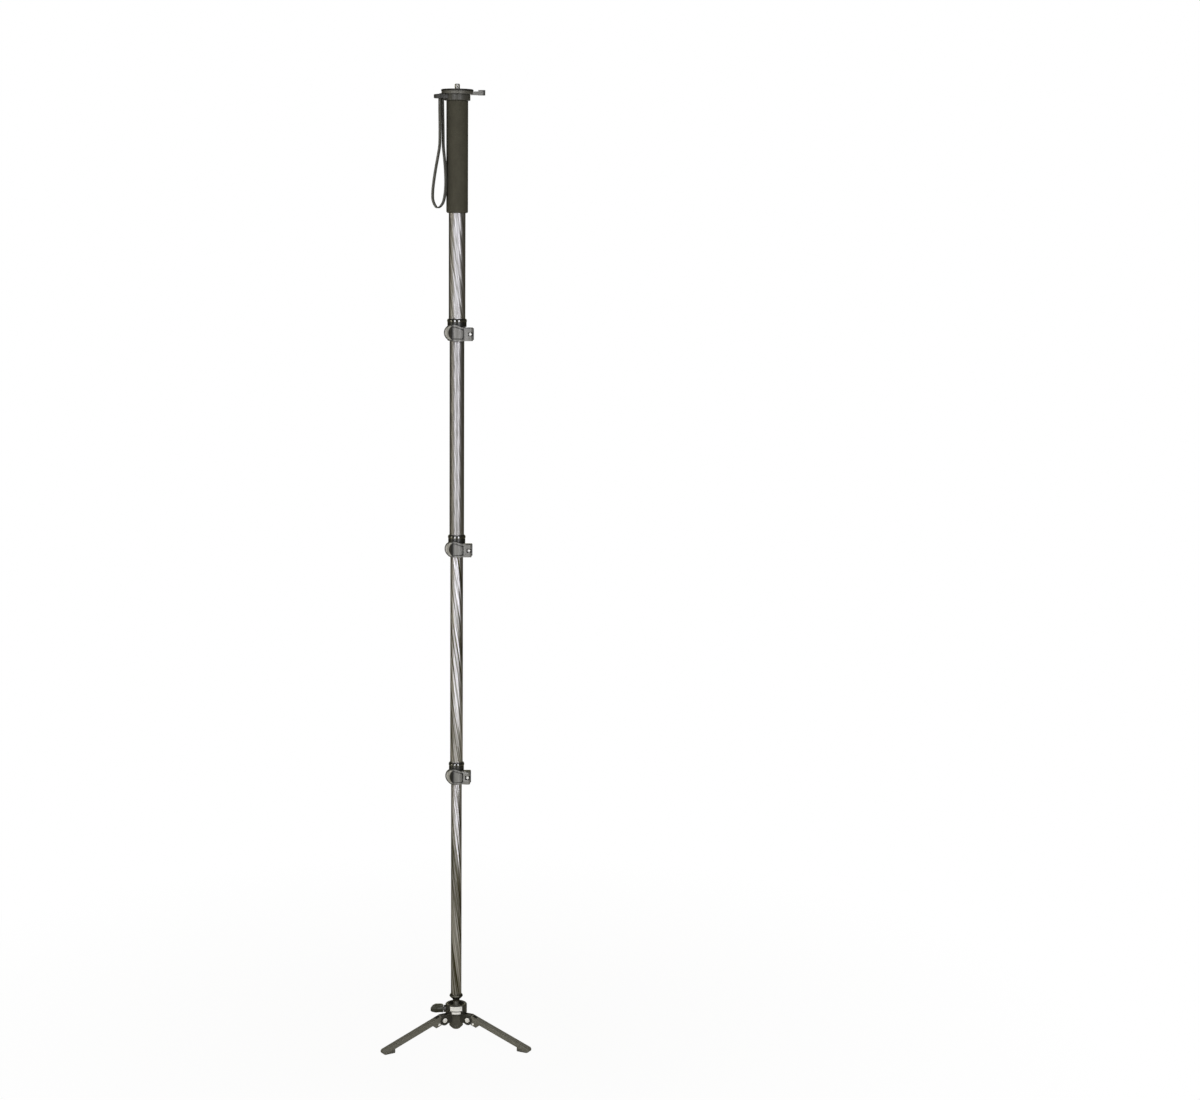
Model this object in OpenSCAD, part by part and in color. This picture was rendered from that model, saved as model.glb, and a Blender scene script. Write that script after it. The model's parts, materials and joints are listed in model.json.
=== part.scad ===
// Camera monopod: four telescoping tubes with flip locks on a ball base with three folding legs.
// The origin lies on the floor under the middle of the whole object, +Z up, front towards -Y.

/* [Tubes] */
// Outer diameter of the top tube
tube_d = 29; // [27:0.5:33]
// Step down in outer diameter from one tube to the next
tube_step = 3.3; // [3.1:0.1:4]
// Wall of every tube
tube_wall = 1.2; // [0.9:0.1:1.3]
// Clear length of the top tube between its lock and the grip
reach_1 = 182; // [120:2:240]
// Clear length of the second tube
reach_2 = 342; // [280:2:380]
// Clear length of the third tube
reach_3 = 373; // [300:2:410]
// Clear length of the lowest tube
reach_4 = 394; // [320:2:430]
// Length of each tube that stays inside the tube above
guide_overlap = 28; // [24:1:60]
// Length of the guide bush on a tube's upper end
guide_len = 20; // [12:1:22]

/* [Flip locks] */
// Height of a lock collar
lock_h = 38; // [36:1:46]
// Length of tube bonded into its collar
socket_h = 14; // [10:1:16]
// Wall of the collar
collar_wall = 2.25; // [1.8:0.05:3]
// Width of the slit in the clamp half of the collar
slit_w = 2.2; // [1.5:0.1:3]
// Thickness of each clamp ear
ear_t = 4.2; // [3:0.1:6]
// Height of the clamp ears
ear_h = 21; // [16:0.5:21]
// Reach of the clamp ears past the lever's knuckle
ear_proud = 1.7; // [0.5:0.1:2.5]
// Height of the lever at its thumb lobe
lever_h = 28; // [26:0.5:32]
// Thickness of the lever
lever_t = 3; // [2.4:0.1:4]
// Radius of the outward curl at the thumb end
curl_r = 8; // [6:0.5:10]
// Width of the raised rim round the lever's panel
lever_rim = 3; // [2:0.25:4]
// Depth of the lever's panel
panel_depth = 0.7; // [0.3:0.1:1]
// Radius of the lever's knuckle
knuckle_r = 4.9; // [4.3:0.1:6]
// Height of the lever's knuckle
knuckle_h = 23.4; // [22:0.2:25]
// Distance of the knuckle's axis from the collar's side
knuckle_out = 6.1; // [5.4:0.1:8]
// Diameter of the lever's hinge pin
lever_pin_d = 3; // [2:0.1:3.6]
// Diameter of the clamp bolt
bolt_d = 5; // [4:0.5:5.5]
// Outer radius of the clamp bolt's eye
eye_r = 3.3; // [3:0.1:3.8]
// Height of the clamp bolt's eye
eye_h = 6; // [5.6:0.2:7]
// Width across the clamp nut's flats
nut_flats = 8; // [7:0.5:9]
// Thickness of the clamp nut
nut_t = 4; // [3:0.5:5]

/* [Grip and head] */
// Length of the grip
grip_len = 191; // [120:1:240]
// Diameter of the grip
grip_d = 37.5; // [34:0.5:40]
// Rounding of the grip's lower edge
grip_round = 3; // [1:0.5:4]
// Diameter of the top collar
collar_d = 45; // [42:0.5:50]
// Height of the top collar
collar_h = 11; // [10:0.5:14]
// Thickness of the collar's top wall
collar_top_t = 2; // [1.5:0.25:3]
// Diameter of the head platform
platform_d = 56; // [52:0.5:62]
// Thickness of the head platform
platform_t = 2.25; // [2:0.25:5]
// Diameter of the platform's spigot
spigot_d = 33.8; // [30:0.2:38]
// Thickness of the rubber facing
pad_t = 0.75; // [0.5:0.25:2]
// Width of the bare platform rim round the facing
pad_rim = 0.8; // [0.4:0.1:3]
// Diameter of the clear ring round the stud
pad_hole_d = 14; // [11:0.5:24]
// Thickness of the lever ring
ring_t = 5; // [5:0.25:9]
// Reach of the lever arm from the tube's axis
arm_reach = 48; // [42:0.5:60]
// Width of the lever arm
arm_w = 12; // [8:0.5:16]
// Thickness of the lever arm
arm_t = 4.6; // [3:0.2:4.8]
// Drop of the arm below its ring
arm_drop = 1.2; // [0:0.2:1.6]
// Length of the thumb block at the arm's end
thumb_len = 12; // [8:0.5:14]
// Height of the thumb block
thumb_h = 8.8; // [7:0.2:10]
// Diameter of the head stud, 3/8 inch
stud_d = 9.525; // [6.35, 9.525]
// Length of stud above the platform
stud_len = 9.5; // [6:0.5:14]
// Length of the plug in the top tube
plug_len = 10; // [8:0.5:11]

/* [Wrist strap] */
// Direction of the strap lug round the tube
strap_azimuth = 205; // [190:1:220]
// Width of the webbing
strap_w = 10; // [8:0.5:12]
// Thickness of the webbing
strap_t = 1.6; // [1:0.1:1.8]
// Reach of the lug from the tube's axis
lug_reach = 43.5; // [42:0.5:48]
// Thickness of the lug
lug_t = 7; // [5:0.25:7.25]
// Height of the collar left above the lug
lug_drop = 1.2; // [0.8:0.1:1.8]
// Width of the lug's outer end beyond the webbing, both sides together
lug_margin = 5; // [4:0.5:8]

/* [Ball base] */
// Height of the ball's centre over the floor
ball_z = 57; // [54:0.5:66]
// Diameter of the ball
ball_d = 20; // [18:0.5:21]
// Diameter of the stem
stem_d = 10.4; // [8:0.2:11]
// Largest tilt of the column to each side
tilt_max = 20; // [10:1:22]
// Diameter of the hub
hub_d = 39; // [37:0.5:44]
// Height of the hub's rim over the ball's centre
hub_rise = 10; // [9:0.5:12]
// Depth of the hub below the ball's centre
hub_drop = 7; // [6.6:0.1:8]
// Diameter of the hub's bore
hub_bore_d = 26.4; // [25:0.2:28]
// Diameter of the dished top ring
top_ring_d = 32.3; // [30:0.1:33]
// Diameter of the boss below the hub
boss_d = 25; // [22:0.2:26]
// Wall of the boss
boss_wall = 2.3; // [2:0.1:2.5]
// Height of the boss with its end cap
boss_h = 30; // [26:0.5:32]
// Height of the boss's end cap
cap_h = 8; // [6:0.5:9]
// Bevel round the end cap's lower edge
cap_bevel = 6; // [2:0.5:7]
// Height of the spring under the ball seat
spring_h = 4; // [3:0.5:5]
// Height of the ball seat
seat_h = 12; // [9:0.5:13]
// Height of the flared foot cup over the ball's centre
foot_rise = 28; // [26:0.5:36]
// Largest diameter of the flare
flare_d = 24.4; // [23.5:0.2:28]
// Depth of the cup that takes the lowest tube
foot_cup = 5; // [5:0.5:8]

/* [Ball lock] */
// Diameter of the lock screw
screw_d = 6; // [5:0.5:6]
// Pitch of the lock screw
screw_pitch = 1; // [0.8:0.05:1.25]
// Diameter of the brake pad
brake_d = 7; // [6.6:0.1:7.4]
// Thickness of the brake pad at its middle
brake_t = 3; // [2.4:0.1:3.4]
// Diameter of the screw boss on the hub
screw_boss_d = 13; // [11:0.5:14]
// Reach of the screw boss from the tube's axis
screw_boss_reach = 23; // [22.5:0.5:26]
// Length of the knob
knob_len = 23; // [17:0.5:26]
// Height of the knob's wings
knob_h = 15.5; // [12:0.5:17]
// Thickness of the knob's wings
knob_t = 7; // [5:0.5:8]

/* [Legs] */
// Distance of the hinge pins from the tube's axis
pivot_r = 26.5; // [26:0.5:30]
// Height of the hinge pins below the ball's centre
pivot_drop = 16.5; // [15:0.5:18]
// Slope of a spread leg below the level
leg_slope = 19.5; // [17:0.5:20]
// Width of a leg
leg_w = 11; // [9:0.5:13]
// Thickness of a leg
leg_t = 8.5; // [7:0.25:9]
// Height of a leg's middle line over its hinge pin
leg_offset = 7.1; // [6.5:0.1:8]
// Height of a leg tip's middle over the floor
tip_z = 4.8; // [4.6:0.1:7]
// Diameter of the hinge pins
hinge_pin_d = 5; // [4:0.5:6]
// Diameter of the hinge pins' heads
hinge_head_d = 9; // [7:0.5:10]
// Diameter of the cross pins in the legs
cross_pin_d = 4.5; // [3:0.25:5]
// Width of a leg's tongue between the hinge cheeks
tongue_w = 5.6; // [4.5:0.1:6]
// Length of the pocket in a leg's upper face
pocket_len = 8; // [5:0.5:10]
// Depth of that pocket
pocket_depth = 3.2; // [2:0.2:4]
// Radius of the hinge cheeks round the pins
cheek_r = 9.2; // [8.5:0.1:9.4]
// Length of a foot pad on the floor
foot_pad_len = 20; // [14:0.5:26]

/* [Clearances] */
// Glue gap between bonded pieces
glue_gap = 0.04; // [0.02:0.01:0.08]
// Running gap round tubes, pins and turning pieces
run_gap = 0.06; // [0.03:0.01:0.1]
// Gap between faces that pass each other
pass_gap = 0.4; // [0.3:0.05:0.6]

/* [Hidden] */

$fn = 64;
// Overshoot of cutting tools past the faces that they cut
cut = 1;

// Colours
carbon = [0.22, 0.22, 0.20];
foam = [0.27, 0.26, 0.22];
black = [0.06, 0.06, 0.06];
satin_grey = [0.52, 0.52, 0.51];
dark_metal = [0.30, 0.30, 0.27];
steel = [0.85, 0.85, 0.84];
rubber = [0.10, 0.10, 0.09];
nylon = [0.80, 0.78, 0.70];

// Heights, from the floor up
pivot_z = ball_z - pivot_drop;
foot_top_z = ball_z + foot_rise;
lock_3_z = foot_top_z + reach_4;
lock_2_z = lock_3_z + lock_h + reach_3;
lock_1_z = lock_2_z + lock_h + reach_2;
lock_z = [lock_1_z, lock_2_z, lock_3_z];
grip_z = lock_1_z + lock_h + reach_1;
collar_z = grip_z + grip_len;
ring_z = collar_z + collar_h;
platform_z = ring_z + ring_t;
pad_z = platform_z + platform_t;
top_z = pad_z + pad_t;
tube_1_top_z = ring_z - collar_top_t;
hub_top_z = ball_z + hub_rise;
hub_bottom_z = ball_z - hub_drop;
boss_z = hub_bottom_z - boss_h;
cap_top_z = boss_z + cap_h;

// Tubes
function tube_r(n) = tube_d / 2 - (n - 1) * tube_step / 2;
function bore_r(n) = tube_r(n) - tube_wall;
function tube_bottom(n) = n == 4 ? foot_top_z - foot_cup : lock_z[n - 1] + lock_h - socket_h;
function tube_top(n) = n == 1 ? tube_1_top_z : lock_z[n - 2] + lock_h + guide_overlap;

// Flip locks, measured from the lock's lower end and the tube's axis
clamp_h = lock_h - socket_h;
function collar_r(n) = tube_r(n) + collar_wall;
function knuckle_x(n) = collar_r(n) + knuckle_out;
knuckle_y = -(slit_w / 2 + ear_t + pass_gap + knuckle_r);
bolt_z = knuckle_h / 2;
ear_z = bolt_z - ear_h / 2;
// The lever hugs the collar between these two directions
lever_from = 210;
lever_to = 308;
// The curl turns this far outwards
curl_turn = 48;
// Depth of the relief cut between the clamp half and the bonded half of the collar
relief_h = 1.2;
// The lever's upper edge falls between these two places across its face
edge_from = -5;
edge_to = 12;

// Head end
spigot_clear_r = spigot_d / 2 + run_gap;
plug_bottom_z = tube_1_top_z - plug_len;
// The stud's shank, below the thread, is as narrow as the thread's root
shank_r = stud_d / 2 - 0.4;
shank_bottom_z = plug_bottom_z + 1;
bead_edge = 0.8;

// Strap lug: a window with a round bar across it, which the webbing hangs over
lug_top_z = ring_z - lug_drop;
bar_r = 30.4;
bar_w = 2.4;
bar_gap = 0.5;
strand_off = bar_w / 2 + bar_gap + strap_t / 2;
lug_w = strap_w + lug_margin;
window_w = strap_w + 2 * bar_gap;
window_from = collar_d / 2 + 2;
window_to = lug_reach - 3.5;
strap_turn_z = lug_top_z - bar_w / 2 - 0.3;

// Ball base
ball_r = ball_d / 2;
seat_r = ball_r + run_gap;
boss_bore_r = boss_d / 2 - boss_wall;
seat_top_z = ball_z - ball_r / 2;
seat_z = seat_top_z - seat_h;
spring_z = seat_z - spring_h;
spring_t = 1.2;
top_ring_z = ball_z + brake_d / 2 + pass_gap;
top_ring_top_z = hub_top_z - 0.6;
// Opening of the top ring: the leaning stem leaves the ball at this height and radius
neck_h = sqrt(ball_r * ball_r - stem_d * stem_d / 4);
tilt_room = tilt_max + 1.5;
dish_h = neck_h * cos(tilt_room) - stem_d / 2 * sin(tilt_room);
dish_r = sqrt(seat_r * seat_r - dish_h * dish_h);
dish_top_r = top_ring_d / 2 - 0.8;

// Ball lock, along -X from the ball
brake_back = seat_r + brake_t;
screw_from = brake_back + run_gap;
knob_from = screw_boss_reach + screw_pitch / 2;

// Legs
leg_names = ["left", "right", "rear"];
leg_azimuths = [210, -30, 90];
root_top_z = hub_bottom_z + 0.4;
root_end_r = pivot_r + 7.1;
web_inner_r = sqrt(pow(boss_d / 2 - 0.5, 2) - leg_w * leg_w / 4);
leg_low = leg_offset - leg_t / 2;
leg_high = leg_offset + leg_t / 2;
leg_len = (pivot_z + leg_offset * cos(leg_slope) - tip_z) / sin(leg_slope);
tip_r = pivot_r + leg_offset * sin(leg_slope) + leg_len * cos(leg_slope) + leg_t / 2;
// The leg's wide part ends just clear of the cheeks: an upright face, then an arc round the pin
face_r = root_end_r + pass_gap - pivot_r;
leg_start = (face_r - leg_high * sin(leg_slope)) / cos(leg_slope);
leg_arc_r = cheek_r + pass_gap;
heel = [20.5, -4.8];
arc_from = acos(face_r / leg_arc_r) + leg_slope;
arc_to = asin(heel[1] / leg_arc_r);
cross_pin = [12.6, -1.6];
cross_pin_proud = 0.6;
pocket_wall = 1.6;
pocket_from = leg_start + pocket_wall + 1;
hinge_head_t = 1;
cheek_from = tongue_w / 2 + pass_gap;
cheek_to = leg_w / 2;
foot_pad_end_r = tip_r - leg_t / 2;

// The object's middle lies between the rear tip and the two front tips
front_reach = tip_r * sin(30) + leg_w / 2 * cos(30);
axis_y = -(tip_r - front_reach) / 2;

// Where the webbing hangs in the lug's upright plane: distance from the tube's axis, height
strap_hang = [[bar_r + strand_off, strap_turn_z],
              [33, collar_z - 16], [33.2, collar_z - 36], [33.8, collar_z - 56],
              [35.4, collar_z - 76], [38, collar_z - 96], [41, collar_z - 116],
              [44, collar_z - 136], [46.2, collar_z - 155], [45.4, collar_z - 171],
              [37.6, collar_z - 182.5], [27.6, collar_z - 175], [23, collar_z - 158],
              [21.7, collar_z - 138], [22, collar_z - 118], [22.9, collar_z - 98],
              [24.1, collar_z - 78], [25.3, collar_z - 58], [26.4, collar_z - 38],
              [27.3, collar_z - 18], [bar_r - strand_off, strap_turn_z]];

// Smooth curve through a list of points, from the first to the last
function held(list, i) = list[max(0, min(len(list) - 1, i))];
function spline(a, b, c, d, t) =
    0.5 * (2 * b + (c - a) * t + (2 * a - 5 * b + 4 * c - d) * t * t
           + (3 * b - a - 3 * c + d) * t * t * t);
function smooth(list, steps) =
    [for (i = [0 : len(list) - 2], k = [1 : steps])
        spline(held(list, i - 1), list[i], list[i + 1], held(list, i + 2), k / steps)];

// Closed curve moved sideways, to the right of its way round
function wrap(list, i) = list[(i + len(list)) % len(list)];
function side(list, i) =
    let (d = wrap(list, i + 1) - wrap(list, i - 1))
    [d[1], -d[0]] / norm(d);
function shifted(list, by) = [for (i = [0 : len(list) - 1]) list[i] + by * side(list, i)];

// Points along an arc
function arc(centre, r, from, to, steps) =
    [for (k = [0 : steps])
        let (a = from + (to - from) * k / steps)
        centre + r * [cos(a), sin(a)]];
function dir(a) = [cos(a), sin(a)];

// Strap lug from the side: a bar with a round nose
lug_profile = concat(arc([lug_reach - lug_t / 2, lug_top_z - lug_t / 2], lug_t / 2, -80, 80, 8),
                     [[0, lug_top_z + cut], [0, lug_top_z - lug_t - cut]]);

module about_axis() translate([0, axis_y, 0]) children();

module ring(r_out, r_in, z, h) {
    translate([0, 0, z]) difference() {
        cylinder(r = r_out, h = h);
        translate([0, 0, -cut]) cylinder(r = r_in, h = h + 2 * cut);
    }
}

// Turns profiles of distance from the axis and height into upright slabs, w wide
module upright(azimuth, w) {
    rotate([0, 0, azimuth]) rotate([90, 0, 0])
        for (k = [0 : $children - 1])
            linear_extrude(w, center = true) children(k);
}

// Head end

module head_stud() {
    color(steel) about_axis() rotate_extrude()
        polygon([[0, shank_bottom_z], [shank_r, shank_bottom_z], [shank_r, top_z],
                 [stud_d / 2, top_z], [stud_d / 2, top_z + stud_len], [0, top_z + stud_len]]);
}

module head_pad() {
    color(rubber) about_axis()
        ring(platform_d / 2 - pad_rim, pad_hole_d / 2, pad_z, pad_t);
}

module head_platform() {
    edge = platform_d / 2;
    color(black) about_axis() rotate_extrude()
        polygon([[shank_r + glue_gap, ring_z], [spigot_d / 2, ring_z],
                 [spigot_d / 2, platform_z], [edge - bead_edge, platform_z],
                 [edge, platform_z + bead_edge], [edge, pad_z], [shank_r + glue_gap, pad_z]]);
}

module head_lever_ring() {
    z_from = ring_z + run_gap;
    h = ring_t - 2 * run_gap;
    block_x = arm_reach - thumb_len;
    color(satin_grey) about_axis() {
        difference() {
            union() {
                ring(platform_d / 2 - bead_edge, spigot_clear_r, z_from, h);
                translate([spigot_d / 2, -arm_w / 2, z_from])
                    cube([block_x - spigot_d / 2 + cut, arm_w, arm_t]);
                translate([collar_d / 2 + 1, -arm_w / 2, z_from - arm_drop])
                    cube([block_x - collar_d / 2, arm_w, arm_t + arm_drop]);
                intersection() {
                    translate([block_x, -arm_w / 2, platform_z + platform_t - thumb_h])
                        cube([thumb_len, arm_w, thumb_h]);
                    translate([arm_reach - 0.75 * arm_w, 0, collar_z])
                        cylinder(r = 0.75 * arm_w, h = 2 * (top_z - collar_z));
                }
                translate([block_x, -arm_w / 2, z_from])
                    cube([thumb_len / 2, arm_w, arm_t]);
            }
            translate([0, 0, z_from - cut]) cylinder(r = spigot_clear_r, h = h + 2 * cut);
        }
    }
}

module strap_bar() {
    rotate([0, 0, strap_azimuth]) translate([bar_r, 0, strap_turn_z]) rotate([90, 0, 0])
        cylinder(d = bar_w, h = window_w + 2 * cut, center = true);
}

module collar_body() {
    difference() {
        union() {
            rotate_extrude()
                polygon([[0, collar_z], [collar_d / 2 - bead_edge, collar_z],
                         [collar_d / 2, collar_z + bead_edge], [collar_d / 2, ring_z - bead_edge],
                         [collar_d / 2 - bead_edge, ring_z], [0, ring_z]]);
            intersection() {
                rotate([0, 0, strap_azimuth]) translate([0, 0, lug_top_z - lug_t]) {
                    translate([tube_d / 2 + 2 * glue_gap, -lug_w / 2, 0])
                        cube([lug_reach - lug_w / 2 - tube_d / 2, lug_w, lug_t]);
                    translate([lug_reach - lug_w / 2, 0, 0]) cylinder(d = lug_w, h = lug_t);
                }
                upright(strap_azimuth, lug_w + 2 * cut) polygon(lug_profile);
            }
        }
        translate([0, 0, collar_z - cut])
            cylinder(r = tube_d / 2 + glue_gap, h = tube_1_top_z - collar_z + cut);
        cylinder(r = shank_r + glue_gap, h = top_z);
        rotate([0, 0, strap_azimuth])
            translate([window_from, -window_w / 2, lug_top_z - lug_t - cut])
                cube([window_to - window_from, window_w, lug_t + 2 * cut]);
    }
}

module top_collar() {
    color(black) about_axis() {
        collar_body();
        strap_bar();
    }
}

module top_plug() {
    color(dark_metal) about_axis()
        ring(bore_r(1) - glue_gap, shank_r + glue_gap, plug_bottom_z, plug_len - glue_gap);
}

module wrist_strap() {
    over_bar = arc([bar_r, strap_turn_z], strand_off, 157.5, 0, 7);
    route = concat(over_bar, smooth(strap_hang, 3));
    color(rubber) about_axis() difference() {
        upright(strap_azimuth, strap_w) polygon(shifted(route, -strap_t / 2));
        upright(strap_azimuth, strap_w + 2 * cut) polygon(shifted(route, strap_t / 2));
    }
}

module grip_sleeve() {
    r = grip_d / 2;
    inner = tube_r(1) + glue_gap;
    color(foam) about_axis() rotate_extrude()
        polygon(concat([[inner, grip_z]],
                       arc([r - grip_round, grip_z + grip_round], grip_round, -90, 0, 6),
                       [[r, collar_z - bead_edge], [r - bead_edge, collar_z], [inner, collar_z]]));
}

// Tubes and their guides

module tube(n) {
    z = tube_bottom(n) + glue_gap;
    color(carbon) about_axis() ring(tube_r(n), bore_r(n), z, tube_top(n) - z);
}

module guide_bush(n) {
    top = tube_top(n);
    lip = 1;
    inner = tube_r(n) + glue_gap;
    outer = bore_r(n - 1) - run_gap;
    color(nylon) about_axis() rotate_extrude()
        polygon([[inner, top - guide_len], [outer, top - guide_len], [outer, top + lip],
                 [bore_r(n), top + lip], [bore_r(n), top + glue_gap], [inner, top + glue_gap]]);
}

// Flip locks: each sits at its lock's lower end

module at_lock(n) about_axis() translate([0, 0, lock_z[n - 1]]) children();

module lock_collar(n) {
    r = collar_r(n);
    bore = tube_r(n) + glue_gap;
    chamfer = 0.8;
    ear_end = knuckle_x(n) + knuckle_r + ear_proud;
    ear_cut = 1.2;
    color(black) at_lock(n) difference() {
        union() {
            rotate_extrude()
                polygon([[bore, 0], [r - chamfer, 0], [r, chamfer], [r, lock_h - chamfer],
                         [r - chamfer, lock_h], [bore, lock_h]]);
            translate([0, slit_w / 2 + ear_t, 0]) rotate([90, 0, 0])
                linear_extrude(slit_w + 2 * ear_t)
                    polygon([[bore, ear_z], [ear_end - ear_cut, ear_z], [ear_end, ear_z + ear_cut],
                             [ear_end, ear_z + ear_h - ear_cut], [ear_end - ear_cut, ear_z + ear_h],
                             [bore, ear_z + ear_h]]);
        }
        translate([0, 0, -cut]) cylinder(r = bore, h = lock_h + 2 * cut);
        translate([0, -slit_w / 2, -cut]) cube([2 * r + ear_end, slit_w, clamp_h + cut]);
        translate([-r / 3, -2 * r, clamp_h - relief_h]) cube([2 * r, 4 * r, relief_h]);
        translate([knuckle_x(n), 0, bolt_z]) rotate([90, 0, 0])
            cylinder(d = bolt_d + 2 * run_gap, h = 4 * r, center = true);
    }
}

// Outline of the lever from above: knuckle, inner face, curl, round thumb edge, outer face
function lever_plan(n) =
    let (inner = collar_r(n) + pass_gap,
         outer = inner + lever_t,
         half = lever_t / 2,
         knuckle = [knuckle_x(n), knuckle_y],
         curl = (inner + half + curl_r) * dir(lever_from),
         curl_from = lever_from - 180,
         curl_to = curl_from + curl_turn)
    concat(arc(knuckle, knuckle_r, -98, 160, 20),
           arc([0, 0], inner, lever_to, lever_from, 24),
           arc(curl, curl_r + half, curl_from + 4, curl_to, 10),
           arc(curl + curl_r * dir(curl_to), half, curl_to + 20, curl_to + 160, 7),
           arc(curl, curl_r - half, curl_to, curl_from + 4, 10),
           arc([0, 0], outer, lever_from, lever_to, 24));

// Lever's upper edge: level over the thumb lobe, then an easy fall to the knuckle
function lever_edge(drop) =
    [for (k = [0 : 8])
        let (t = k / 8)
        [edge_from + (edge_to - edge_from) * t,
         lever_h - drop - (lever_h - knuckle_h) * t * t * (3 - 2 * t)]];

// Lever's outline seen from the front: a round thumb lobe that narrows towards the knuckle
module lever_outline(n) {
    lobe_r = lever_h / 2;
    mid = collar_r(n) + pass_gap + lever_t / 2;
    reach = (mid + curl_r) * cos(lever_from) + curl_r * cos(lever_from - 180 + curl_turn) - lever_t / 2;
    right = knuckle_x(n) + knuckle_r + cut;
    polygon(concat(arc([reach + lobe_r, lobe_r], lobe_r, 270, 90, 24), lever_edge(0),
                   [[right, knuckle_h], [right, 0]]));
}

// Panel sunk into the lever's face
module lever_panel(n) {
    left = -collar_r(n) / 2;
    polygon(concat([[left, lever_rim], [left, lever_h - lever_rim]], lever_edge(lever_rim),
                   [[edge_to, lever_rim]]));
}

module lock_lever(n) {
    outer = collar_r(n) + pass_gap + lever_t;
    far = 3 * outer;
    color(satin_grey) at_lock(n) difference() {
        intersection() {
            linear_extrude(lever_h) polygon(lever_plan(n));
            rotate([90, 0, 0]) linear_extrude(2 * far, center = true) lever_outline(n);
        }
        intersection() {
            translate([0, 0, -cut]) difference() {
                cylinder(r = outer + 2 * cut, h = lever_h + 2 * cut);
                cylinder(r = outer - panel_depth, h = lever_h + 2 * cut);
            }
            rotate([90, 0, 0]) linear_extrude(far) lever_panel(n);
        }
        translate([knuckle_x(n), knuckle_y, 0]) {
            translate([0, 0, bolt_z - eye_h / 2 - pass_gap])
                cylinder(r = knuckle_r + cut, h = eye_h + 2 * pass_gap);
            translate([0, 0, -cut]) cylinder(d = lever_pin_d + 2 * run_gap, h = lever_h);
        }
    }
}

module lever_pin(n) {
    inset = 0.6;
    color(steel) at_lock(n) translate([knuckle_x(n), knuckle_y, inset])
        cylinder(d = lever_pin_d, h = knuckle_h - 2 * inset);
}

module clamp_bolt(n) {
    shank = slit_w / 2 + ear_t - knuckle_y + nut_t + 1.5;
    color(steel) at_lock(n) translate([knuckle_x(n), knuckle_y, bolt_z]) difference() {
        union() {
            cylinder(r = eye_r, h = eye_h, center = true);
            rotate([-90, 0, 0]) cylinder(d = bolt_d, h = shank);
        }
        cylinder(d = lever_pin_d + 2 * glue_gap, h = 2 * eye_h, center = true);
    }
}

module clamp_nut(n) {
    color(steel) at_lock(n)
        translate([knuckle_x(n), slit_w / 2 + ear_t + glue_gap, bolt_z]) rotate([-90, 0, 0])
            difference() {
                cylinder(d = nut_flats / cos(30), h = nut_t, $fn = 6);
                translate([0, 0, -cut])
                    cylinder(d = bolt_d + 2 * glue_gap, h = nut_t + 2 * cut, $fn = 64);
            }
}

module clamp_liner(n) {
    color(nylon) at_lock(n) difference() {
        ring(tube_r(n), tube_r(n + 1) + run_gap, 0, clamp_h - glue_gap);
        translate([0, -slit_w / 2, -cut]) cube([2 * tube_r(n), slit_w, clamp_h + 2 * cut]);
    }
}

// Base

module tube_foot() {
    r = flare_d / 2;
    cup = tube_r(4) + glue_gap;
    stem = stem_d / 2 + glue_gap;
    floor_z = foot_top_z - foot_cup;
    neck_z = floor_z - 8;
    color(black) about_axis() rotate_extrude()
        polygon([[stem, neck_z], [stem + 0.8, neck_z], [stem + 1.2, floor_z - 4.5],
                 [cup + 1.4, floor_z - 0.2], [r, foot_top_z - 3.6], [r - 0.4, foot_top_z - 2],
                 [cup + 0.9, foot_top_z], [cup, foot_top_z], [cup, floor_z], [stem, floor_z]]);
}

module ball_stem() {
    color(steel) about_axis() {
        translate([0, 0, ball_z]) sphere(r = ball_r);
        translate([0, 0, ball_z]) cylinder(d = stem_d, h = foot_rise - foot_cup);
    }
}

module ball_seat() {
    color(nylon) about_axis() difference() {
        translate([0, 0, seat_z]) cylinder(r = boss_bore_r - run_gap, h = seat_h);
        translate([0, 0, ball_z]) sphere(r = seat_r);
        cylinder(r = ball_r / 2, h = ball_z);
    }
}

// Two cupped spring washers, rim to rim
module seat_spring() {
    outer = boss_bore_r - pass_gap;
    inner = outer / 2;
    from = spring_z + glue_gap;
    to = seat_z - glue_gap;
    mid = (from + to) / 2;
    color(steel) about_axis() rotate_extrude()
        polygon([[inner, from], [outer, mid - spring_t / 2], [outer, mid + spring_t / 2],
                 [inner, to], [inner, to - spring_t], [outer - 2 * spring_t, mid],
                 [inner, from + spring_t]]);
}

module hub_top_ring() {
    dish_z = ball_z + dish_h;
    color(black) about_axis() difference() {
        translate([0, 0, top_ring_z])
            cylinder(r = top_ring_d / 2 - glue_gap, h = top_ring_top_z - top_ring_z);
        translate([0, 0, ball_z]) sphere(r = seat_r);
        translate([0, 0, dish_z])
            cylinder(r1 = dish_r, r2 = dish_top_r, h = top_ring_top_z - dish_z);
        translate([0, 0, top_ring_top_z - glue_gap]) cylinder(r = dish_top_r, h = cut);
    }
}

// A cheek's arm from the boss: its flat top stops the spread leg
module cheek_web() {
    polygon([[web_inner_r, pivot_z - 5.5], [web_inner_r, root_top_z], [root_end_r, root_top_z],
             [root_end_r, pivot_z], [pivot_r - 5, pivot_z - 7]]);
}

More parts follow.
